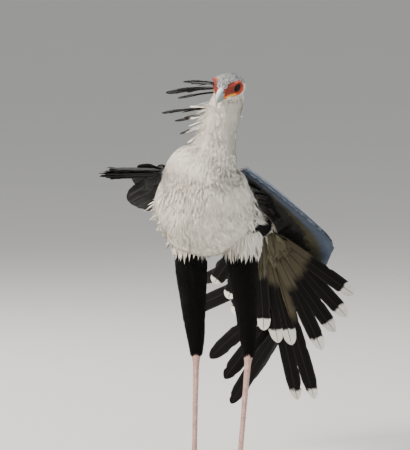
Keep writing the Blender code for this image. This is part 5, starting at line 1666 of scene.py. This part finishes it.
def along_tree(name, part, material, seed):
    """Build the node tree that sets one small part on each point, aimed and sized by the point."""
    tree = bpy.data.node_groups.new(name, "GeometryNodeTree")
    tree.interface.new_socket("Geometry", in_out="INPUT", socket_type="NodeSocketGeometry")
    size = tree.interface.new_socket("Size", in_out="INPUT", socket_type="NodeSocketFloat")
    size.default_value = 1.0
    vary = tree.interface.new_socket("Unevenness", in_out="INPUT", socket_type="NodeSocketFloat")
    vary.default_value = 0.1
    tree.interface.new_socket("Geometry", in_out="OUTPUT", socket_type="NodeSocketGeometry")
    inputs = tree.nodes.new("NodeGroupInput")
    outputs = tree.nodes.new("NodeGroupOutput")
    shape = add_node(tree, "GeometryNodeObjectInfo")
    shape.inputs["Object"].default_value = part
    aim = add_node(tree, "GeometryNodeInputNamedAttribute", {"Name": "aim"}, data_type="FLOAT_VECTOR")
    lie = add_node(tree, "GeometryNodeInputNamedAttribute", {"Name": "lie"}, data_type="FLOAT_VECTOR")
    own = add_node(tree, "GeometryNodeInputNamedAttribute", {"Name": "size"}, data_type="FLOAT_VECTOR")
    stand = add_node(tree, "FunctionNodeAlignRotationToVector", {"Vector": aim.outputs["Attribute"]}, axis="Z")
    turn = add_node(tree, "FunctionNodeAlignRotationToVector",
                    {"Rotation": stand.outputs["Rotation"], "Vector": lie.outputs["Attribute"]},
                    axis="Y", pivot_axis="Z")
    low = add_node(tree, "ShaderNodeMath", {0: 1.0, 1: inputs.outputs["Unevenness"]}, operation="SUBTRACT")
    high = add_node(tree, "ShaderNodeMath", {0: 1.0, 1: inputs.outputs["Unevenness"]}, operation="ADD")
    chance = add_node(tree, "FunctionNodeRandomValue", {"Seed": seed}, data_type="FLOAT")
    tree.links.new(low.outputs[0], chance.inputs[2])
    tree.links.new(high.outputs[0], chance.inputs[3])
    grown = add_node(tree, "ShaderNodeMath", {0: chance.outputs[1], 1: inputs.outputs["Size"]},
                     operation="MULTIPLY")
    scale = add_node(tree, "ShaderNodeVectorMath", {0: own.outputs["Attribute"]}, operation="SCALE")
    tree.links.new(grown.outputs[0], scale.inputs["Scale"])
    placed = add_node(tree, "GeometryNodeInstanceOnPoints",
                      {"Points": inputs.outputs["Geometry"], "Instance": shape.outputs["Geometry"],
                       "Rotation": turn.outputs["Rotation"], "Scale": scale.outputs["Vector"]})
    real = add_node(tree, "GeometryNodeRealizeInstances", {"Geometry": placed.outputs["Instances"]})
    coloured = add_node(tree, "GeometryNodeSetMaterial", {"Geometry": real.outputs["Geometry"]})
    coloured.inputs["Material"].default_value = material
    tree.links.new(coloured.outputs["Geometry"], outputs.inputs["Geometry"])
    return tree


def set_along(name, part, points, aims, lies, sizes, material, seed, unevenness):
    """Set a part on every point with a node tree and turn the result into a plain piece."""
    holder_mesh = bpy.data.meshes.new(name + "_points")
    holder_mesh.from_pydata([tuple(point) for point in points], [], [])
    for key, values in (("aim", aims), ("lie", lies), ("size", sizes)):
        layer = holder_mesh.attributes.new(key, "FLOAT_VECTOR", "POINT")
        layer.data.foreach_set("vector", np.asarray(values, dtype=np.float32).ravel())
    holder = bpy.data.objects.new(name + "_holder", holder_mesh)
    bpy.context.scene.collection.objects.link(holder)
    tree = along_tree(name + "_tree", part, material, seed)
    modifier = holder.modifiers.new("along", "NODES")
    modifier.node_group = tree
    for item in tree.interface.items_tree:
        if item.item_type == "SOCKET" and item.in_out == "INPUT" and item.name == "Unevenness":
            modifier[item.identifier] = unevenness
    depsgraph = bpy.context.evaluated_depsgraph_get()
    mesh = bpy.data.meshes.new_from_object(holder.evaluated_get(depsgraph))
    bpy.data.objects.remove(holder, do_unlink=True)
    bpy.data.objects.remove(part, do_unlink=True)
    mesh.name = name
    if not mesh.vertices:
        raise RuntimeError(name + " came out empty")
    mesh.shade_smooth()
    piece = bpy.data.objects.new(name, mesh)
    bpy.context.scene.collection.objects.link(piece)
    return piece


def lash_part(material):
    """One tapered, curved lash, a unit long along its Z axis."""
    rows = 9
    along = np.linspace(0.0, 1.0, rows)[:, None]
    turn = np.arange(6)[None, :] / 6 * math.tau
    thick = 0.034 * (1.0 - along) ** 0.6 + 0.004
    points = np.stack(np.broadcast_arrays(thick * np.cos(turn), thick * np.sin(turn) + 0.28 * along ** 2,
                                          along + 0 * turn), axis=-1)
    return make_piece("lash_part", points, grid_faces(1, rows, 6, closed=True), material)


def make_lashes(settings, material):
    """Root the long black lashes in the rim of each upper lid."""
    for name, side, seed in (("left", 1, 3), ("right", -1, 4)):
        centre, look, up, ahead = eye_axes(side)
        turn = np.linspace(math.radians(8.0), math.radians(172.0), 21)
        opening = 1.0 / np.sqrt((np.cos(turn) / LID_OPEN_WIDE) ** 2 + (np.sin(turn) / (LID_OPEN_HIGH * 0.92)) ** 2)
        polar = opening + math.radians(3.0)
        outward = (np.cos(polar)[:, None] * look + (np.sin(polar) * np.cos(turn))[:, None] * ahead
                   + (np.sin(polar) * np.sin(turn))[:, None] * up)
        away = np.cos(turn)[:, None] * ahead + np.sin(turn)[:, None] * up
        points = centre + outward * (EYE_RADIUS + LID_THICK * 0.6)
        aims = unit(outward + away * 0.9 + up * 0.15)
        lies = np.broadcast_to(up, aims.shape)
        long = settings.lash * (0.55 + 0.45 * np.sin(turn))
        sizes = np.stack((long, long, long), axis=-1)
        lashes = set_along("eyelashes_" + name, lash_part(material), points, aims, lies, sizes, material, seed, 0.18)
        dress(lashes, "black_feathers")


# Legs

FOOT_TOP = 0.026
TOE_HEIGHT = 0.0058
ANKLE_GAP = 0.0003
SHANK_SUNK = 0.004


def shank_rows(thigh_rows, foot):
    ankle = Vector(thigh_rows[-1][:3]) + Vector((0, 0, 0.004))
    foot_top = foot + Vector((0, 0, FOOT_TOP - SHANK_SUNK))
    rows = []
    for part, wide, deep in SHANK_PROFILE:
        rows.append((*ankle.lerp(foot_top, part), wide - 0.0007, deep - 0.0007))
    return rows


def plate_part(name, material, wide, high, thick):
    """One curved horny plate: rounded corners, crowned middle and a free lower edge."""
    rows, columns = 9, 11
    down, across = np.meshgrid(np.linspace(-1.0, 1.0, rows), np.linspace(-1.0, 1.0, columns), indexing="ij")
    x = across * wide / 2 * (1.0 - 0.10 * down ** 4)
    y = down * high / 2 * (1.0 - 0.18 * across ** 4)
    edge = np.maximum(np.abs(across), np.abs(down))
    z = thick * (1.0 - edge ** 6) - 0.20 * wide * across ** 2 + thick * 0.5 * np.clip(-down, 0.0, 1.0) * (edge < 0.99)
    return make_piece(name, np.stack((x, y, z), axis=-1), grid_faces(1, rows, columns), material)


def make_leg(name, thigh_rows, foot, heading, settings, skin, horn, draw, seed):
    """Build a bare shank with its plates, the foot with its toes, and the claws."""
    rows = shank_rows(thigh_rows, foot)
    surface = tube_surface(rows, (1, 0, 0))
    points, faces = closed_tube(surface, 130, 36)
    knobs = draw.normal(0.0, 0.00010, points.shape[:2])
    points = points + knobs[..., None]
    shank = make_piece("shank_skin_" + name, points, faces, skin)
    dress(shank, "leg_skin", "shank_" + name)
    count = int(0.245 / settings.scute)
    places = np.linspace(0.03, 0.985, count)
    spots, aims, lies, sizes = [], [], [], []
    for turn, wide, offset in ((0.75, 1.28, 0.0), (0.25, 1.16, 0.5)):
        at = places + offset * (places[1] - places[0])
        spot, normal, along = read_surface(surface, at, np.full(count, turn))
        spots.append(spot - normal * 0.0002)
        aims.append(normal)
        lies.append(-along)
        breadth = curve(rows, at)[:, 3] * wide
        sizes.append(np.stack((breadth, np.full(count, settings.scute * 1.22), breadth), axis=-1))
    part = plate_part("scute_part", skin, 1.0, 1.0, 0.085)
    plates = set_along("shank_plates_" + name, part, np.concatenate(spots), np.concatenate(aims),
                       np.concatenate(lies), np.concatenate(sizes), skin, seed, 0.06)
    dress(plates, "leg_skin")
    make_foot(name, foot, heading, settings, skin, horn, seed)


def make_foot(name, foot, heading, settings, skin, horn, seed):
    """Build the hub, toes with pads and plates, and a curved claw beyond each toe."""
    tubes = []
    hub = [(*(foot + Vector((0, 0, 0.032))), 0.0086, 0.0094), (*(foot + Vector((0, 0, 0.020))), 0.0098, 0.0108),
           (*(foot + Vector((0, 0, 0.011))), 0.0112, 0.0122), (*(foot + Vector((0, 0, 0.001))), 0.0098, 0.0108)]
    tubes.append((tube_surface(hub, (1, 0, 0)), 24, 32))
    spots, aims, lies, sizes = [], [], [], []
    for toe_name, angle, length, claw_length, thick in TOES:
        side = -1.0 if name == "left" else 1.0
        turn = heading + math.radians(angle) * side
        ahead = Vector((math.sin(turn), -math.cos(turn), 0))
        across = Vector((-ahead.y, ahead.x, 0))
        rise = Vector((0, 0, 1))
        thick = thick - 0.0004
        rows = [
            (*(foot + rise * 0.0100), thick, thick),
            (*(foot + ahead * length * 0.30 + rise * 0.0090), thick * 0.98, thick),
            (*(foot + ahead * length * 0.46 + rise * 0.0066), thick * 0.86, thick * 0.84),
            (*(foot + ahead * length * 0.66 + rise * 0.0066), thick * 0.98, thick * 0.92),
            (*(foot + ahead * length * 0.82 + rise * 0.0056), thick * 0.80, thick * 0.78),
            (*(foot + ahead * length + rise * TOE_HEIGHT), thick * 0.84, thick * 0.80),
        ]
        toe = tube_surface(rows, tuple(across))
        tubes.append((toe, 40, 24))
        count = int(length * 0.72 / 0.0042)
        at = np.linspace(0.26, 0.97, count)
        ring = toe(np.full(4, 0.5), np.array((0.0, 0.25, 0.5, 0.75)))
        top = float(np.array((0.0, 0.25, 0.5, 0.75))[np.argmax(ring[:, 2])])
        spot, normal, along = read_surface(toe, at, np.full(count, top))
        spots.append(spot - normal * 0.0002)
        aims.append(normal)
        lies.append(-along)
        breadth = curve(rows, at)[:, 3] * 1.45
        sizes.append(np.stack((breadth, np.full(count, 0.0056), breadth * 0.9), axis=-1))
        start = foot + ahead * (length - 0.002)
        claw_rows = [
            (*(start + rise * (TOE_HEIGHT + 0.0006)), thick * 0.60, thick * 0.66),
            (*(start + ahead * (claw_length * 0.30 + 0.002) + rise * (TOE_HEIGHT + 0.0019)), thick * 0.52, thick * 0.60),
            (*(start + ahead * (claw_length * 0.62 + 0.002) + rise * (TOE_HEIGHT + 0.0002)), thick * 0.36, thick * 0.42),
            (*(start + ahead * (claw_length * 0.88 + 0.002) + rise * 0.0034), thick * 0.17, thick * 0.20),
            (*(start + ahead * (claw_length + 0.002) + rise * 0.0012), 0.0005, 0.0006),
        ]
        points, faces = closed_tube(tube_surface(claw_rows, tuple(across)), 34, 20)
        claw = make_piece(f"claw_horn_{name}_{toe_name}", points, faces, horn)
        dress(claw, "claw_horn", f"claw_{name}_{toe_name}")
    points, faces, start = [], [], 0
    for surface, count, columns in tubes:
        some, corners = closed_tube(surface, count, columns)
        points.append(some.reshape(-1, 3))
        faces.append(corners + start)
        start += len(points[-1])
    raw = plain_object("foot_raw", np.concatenate(points), np.concatenate(faces))
    remesh = raw.modifiers.new("melted", "REMESH")
    remesh.mode = "VOXEL"
    remesh.voxel_size = 0.0009
    soften = raw.modifiers.new("softened", "SMOOTH")
    soften.iterations = 8
    mesh = bpy.data.meshes.new_from_object(raw.evaluated_get(bpy.context.evaluated_depsgraph_get()))
    bpy.data.objects.remove(raw, do_unlink=True)
    coordinates = np.empty(len(mesh.vertices) * 3, dtype=np.float32)
    mesh.vertices.foreach_get("co", coordinates)
    coordinates = coordinates.reshape(-1, 3)
    coordinates[:, 2] = np.maximum(coordinates[:, 2], 0.0002)
    corners = np.empty(len(mesh.loops), dtype=np.int32)
    mesh.loops.foreach_get("vertex_index", corners)
    bpy.data.meshes.remove(mesh)
    foot_piece = make_piece("foot_skin_" + name, coordinates, corners.reshape(-1, 4), skin)
    dress(foot_piece, "leg_skin", "foot_" + name)
    part = plate_part("toe_plate_part", skin, 1.0, 1.0, 0.09)
    plates = set_along("toe_plates_" + name, part, np.concatenate(spots), np.concatenate(aims),
                       np.concatenate(lies), np.concatenate(sizes), skin, seed + 10, 0.06)
    dress(plates, "leg_skin")


# Stage

FRAME_WIDE = 410.0
FRAME_HIGH = 450.0
METRE_A_PIXEL = 0.0022
CAMERA_AIM = Vector((-0.022, 0.0, 0.583))
SENSOR = 36.0
FLOOR_REACH = 70.0


def make_stage(settings, floor_material):
    """Lay the wide pale floor, set soft lights and the camera."""
    far = np.linspace(-FLOOR_REACH, FLOOR_REACH, 9)
    across, deep = np.meshgrid(far, far, indexing="ij")
    points = np.stack((across, deep, np.zeros_like(across)), axis=-1)
    floor = make_piece("studio_floor", points, grid_faces(1, 9, 9), floor_material)
    aim = CAMERA_AIM + SHIFT
    lights = (("key", (-3.2, -3.0, 3.6), 2.2, 470.0, (1.0, 0.93, 0.82)),
              ("fill", (3.6, -3.4, 1.8), 3.0, 110.0, (0.90, 0.95, 1.0)),
              ("back", (-1.6, 2.6, 3.0), 1.6, 120.0, (1.0, 0.97, 0.93)),
              ("top", (0.5, 0.2, 4.0), 2.5, 60.0, (1.0, 1.0, 1.0)))
    for name, place, size, power, colour in lights:
        data = bpy.data.lights.new(name, "AREA")
        data.shape = "DISK"
        data.size = size
        data.energy = power
        data.color = colour
        lamp = bpy.data.objects.new("light_" + name, data)
        lamp.location = place
        lamp.rotation_euler = (aim - Vector(place)).to_track_quat("-Z", "Y").to_euler()
        bpy.context.scene.collection.objects.link(lamp)
    data = bpy.data.lights.new("even", "SUN")
    data.energy = 0.7
    data.angle = math.radians(50.0)
    lamp = bpy.data.objects.new("light_even", data)
    lamp.rotation_euler = (math.radians(28.0), math.radians(-22.0), 0.0)
    bpy.context.scene.collection.objects.link(lamp)
    world = bpy.data.worlds.new("soft_room")
    world.use_nodes = True
    background = world.node_tree.nodes["Background"]
    background.inputs["Color"].default_value = (0.95, 0.97, 1.0, 1.0)
    background.inputs["Strength"].default_value = 0.36
    bpy.context.scene.world = world
    data = bpy.data.cameras.new("camera")
    data.sensor_width = SENSOR
    data.lens = SENSOR * settings.distance / (FRAME_HIGH * METRE_A_PIXEL)
    data.clip_end = 60.0
    camera = bpy.data.objects.new("camera", data)
    look = Vector((0.0, math.cos(settings.elevation), -math.sin(settings.elevation)))
    camera.location = aim - look * settings.distance
    camera.rotation_euler = look.to_track_quat("-Z", "Y").to_euler()
    bpy.context.scene.collection.objects.link(camera)
    bpy.context.scene.camera = camera


# Operators and panel

def settings_of(context):
    scene = context.scene
    return (scene.bird_plumage, scene.bird_flight, scene.bird_head, scene.bird_legs, scene.bird_stage)


def colour(value):
    return tuple(value)


def draw_from(plumage, step):
    return np.random.default_rng(plumage.seed * 100 + step)


def plumage_material(plumage):
    found = bpy.data.materials.get("body_feathers")
    if found is None:
        found = make_plumage("body_feathers", (colour(plumage.white), colour(plumage.grey),
                                               colour(plumage.black)), 90.0, 0.02)
    return found


def skin_material(plumage, head):
    found = bpy.data.materials.get("skin_and_down")
    if found is None:
        found = make_skin_under("skin_and_down", (colour(plumage.white), colour(plumage.grey),
                                                  colour(plumage.black), colour(head.face), colour(head.gape)))
    return found


class MESH_OT_bird_skin(bpy.types.Operator):
    """Make the one skin that replaces head, neck, torso and thighs"""
    bl_idname = "mesh.bird_skin"
    bl_label = "Skin"

    def execute(self, context):
        plumage, flight, head, legs, stage = settings_of(context)
        skin = build_skin(plumage, head, skin_material(plumage, head))
        dress(skin, "white_feathers", "head", "neck", "torso", "thigh_left", "thigh_right")
        return {"FINISHED"}


class MESH_OT_bird_coat(bpy.types.Operator):
    """Grow the small feathers of head, neck, body and thighs, and the belly's fringe"""
    bl_idname = "mesh.bird_coat"
    bl_label = "Coat"

    def execute(self, context):
        plumage, flight, head, legs, stage = settings_of(context)
        material = plumage_material(plumage)
        grow_trunk_coat(plumage, material, draw_from(plumage, 1))
        grow_head_coat(plumage, material, draw_from(plumage, 2))
        grow_thigh_coats(plumage, material, draw_from(plumage, 3))
        grow_frills(material, draw_from(plumage, 4))
        grow_loose_locks(material, draw_from(plumage, 5))
        grow_chin(material, draw_from(plumage, 12))
        return {"FINISHED"}


class MESH_OT_bird_wings(bpy.types.Operator):
    """Build both wings from flesh, flight feathers and coverts"""
    bl_idname = "mesh.bird_wings"
    bl_label = "Wings"

    def execute(self, context):
        plumage, flight, head, legs, stage = settings_of(context)
        # Painted shade: the underwing coverts take a dark olive in place of their own paler colour, and strong root
        # shade, for the shade under the wing
        shaded_lining = make_plumage("underwing_shaded_feathers", (linear("#45412F"), linear("#4E5A6E"),
                                                     colour(plumage.black)), 110.0, 0.06, 0.40, 0.20)
        black = make_flight_material("wing_flight_feathers", colour(plumage.black), colour(plumage.grey),
                                     colour(flight.shaft), False)
        materials = (plumage_material(plumage), shaded_lining, black, skin_material(plumage, head))
        left = wing_lines(LEFT_WING_BONES, LEFT_WING_TIPS, LEFT_WING_STARTS)
        make_wing("left", left, LEFT_UPPER_ROWS, LEFT_UNDER_ROWS, LEFT_INNER_FEATHERS, LEFT_INNER_FACE,
                  materials, flight, draw_from(plumage, 6))
        right = wing_lines(RIGHT_WING_BONES, RIGHT_WING_TIPS, RIGHT_WING_STARTS)
        make_wing("right", right, RIGHT_ROWS, RIGHT_ROWS, RIGHT_HAND_FEATHERS, HAND_FACE, materials,
                  flight, draw_from(plumage, 7))
        return {"FINISHED"}


class MESH_OT_bird_tail(bpy.types.Operator):
    """Build the spread tail with its band, white tips and soft plumes"""
    bl_idname = "mesh.bird_tail"
    bl_label = "Tail"

    def execute(self, context):
        plumage, flight, head, legs, stage = settings_of(context)
        banded = make_flight_material("tail_banded_feathers", colour(plumage.black), colour(flight.tail_base_shaded),
                                      colour(flight.shaft), True)
        # Painted shade: the tail coverts and vent plumes take a muted dark olive below their own pale colour, and
        # strong root shade, for the shade they lie in
        soft = make_plumage("tail_covert_shaded_feathers", (linear("#8E8872"), linear("#57513D"),
                                                     colour(plumage.black)), 110.0, 0.05, 0.45, 0.25)
        make_tail((soft, banded, skin_material(plumage, head)), flight, draw_from(plumage, 8))
        return {"FINISHED"}


class MESH_OT_bird_plumes(bpy.types.Operator):
    """Build the crest and nape plumes"""
    bl_idname = "mesh.bird_plumes"
    bl_label = "Crest"

    def execute(self, context):
        plumage, flight, head, legs, stage = settings_of(context)
        banded = make_flight_material("crest_feathers", colour(plumage.black), colour(plumage.white),
                                      colour(plumage.black), True)
        make_plumes((banded,), draw_from(plumage, 9))
        return {"FINISHED"}


class MESH_OT_bird_face(bpy.types.Operator):
    """Build bill, eyes, lids and lashes"""
    bl_idname = "mesh.bird_face"
    bl_label = "Face"

    def execute(self, context):
        plumage, flight, head, legs, stage = settings_of(context)
        make_bill(head, (make_bill_material("bill_horn", colour(head.bill), colour(head.gape)),))
        make_eyes(head, (make_eye_material("wet_eye", colour(head.iris)),
                         make_lid_material("lid_skin", colour(head.face))))
        lash = make_horn_material("lash_bristle", linear("#14110F"))
        make_lashes(head, lash)
        return {"FINISHED"}


class MESH_OT_bird_legs(bpy.types.Operator):
    """Build shanks, feet, plates and claws"""
    bl_idname = "mesh.bird_legs"
    bl_label = "Legs"

    def execute(self, context):
        plumage, flight, head, legs, stage = settings_of(context)
        skin = make_leg_material("leg_skin", colour(legs.skin))
        horn = make_horn_material("claw_horn", colour(legs.claw))
        make_leg("left", LEFT_THIGH, LEFT_FOOT, LEFT_FOOT_TURN, legs, skin, horn, draw_from(plumage, 10), 21)
        make_leg("right", RIGHT_THIGH, RIGHT_FOOT, RIGHT_FOOT_TURN, legs, skin, horn, draw_from(plumage, 11), 22)
        return {"FINISHED"}


class MESH_OT_bird_stage(bpy.types.Operator):
    """Lay the floor and set lights and camera"""
    bl_idname = "mesh.bird_stage"
    bl_label = "Stage"

    def execute(self, context):
        plumage, flight, head, legs, stage = settings_of(context)
        make_stage(stage, make_floor_material("studio_floor", colour(stage.floor)))
        return {"FINISHED"}


OPERATORS = (MESH_OT_bird_skin, MESH_OT_bird_coat, MESH_OT_bird_wings, MESH_OT_bird_tail, MESH_OT_bird_plumes,
             MESH_OT_bird_face, MESH_OT_bird_legs, MESH_OT_bird_stage)
GROUPS = (("bird_plumage", PlumageSettings), ("bird_flight", FlightSettings), ("bird_head", HeadSettings),
          ("bird_legs", LegSettings), ("bird_stage", StageSettings))


class VIEW3D_PT_bird(bpy.types.Panel):
    """List the settings and the steps that build the bird"""
    bl_label = "Secretary bird"
    bl_idname = "VIEW3D_PT_bird"
    bl_space_type = "VIEW_3D"
    bl_region_type = "UI"
    bl_category = "Secretary bird"

    def draw(self, context):
        layout = self.layout
        for name, group in GROUPS:
            box = layout.box()
            settings = getattr(context.scene, name)
            for key in group.__annotations__:
                box.prop(settings, key)
        for operator in OPERATORS:
            layout.operator(operator.bl_idname)


def register():
    for name, group in GROUPS:
        bpy.utils.register_class(group)
        setattr(bpy.types.Scene, name, PointerProperty(type=group))
    for operator in OPERATORS:
        bpy.utils.register_class(operator)
    bpy.utils.register_class(VIEW3D_PT_bird)


def unregister():
    bpy.utils.unregister_class(VIEW3D_PT_bird)
    for operator in reversed(OPERATORS):
        bpy.utils.unregister_class(operator)
    for name, group in reversed(GROUPS):
        delattr(bpy.types.Scene, name)
        bpy.utils.unregister_class(group)


def main():
    register()
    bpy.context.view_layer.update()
    bpy.ops.mesh.bird_skin()
    bpy.ops.mesh.bird_coat()
    bpy.ops.mesh.bird_wings()
    bpy.ops.mesh.bird_tail()
    bpy.ops.mesh.bird_plumes()
    bpy.ops.mesh.bird_face()
    bpy.ops.mesh.bird_legs()
    bpy.ops.mesh.bird_stage()


if __name__ == "__main__":
    main()
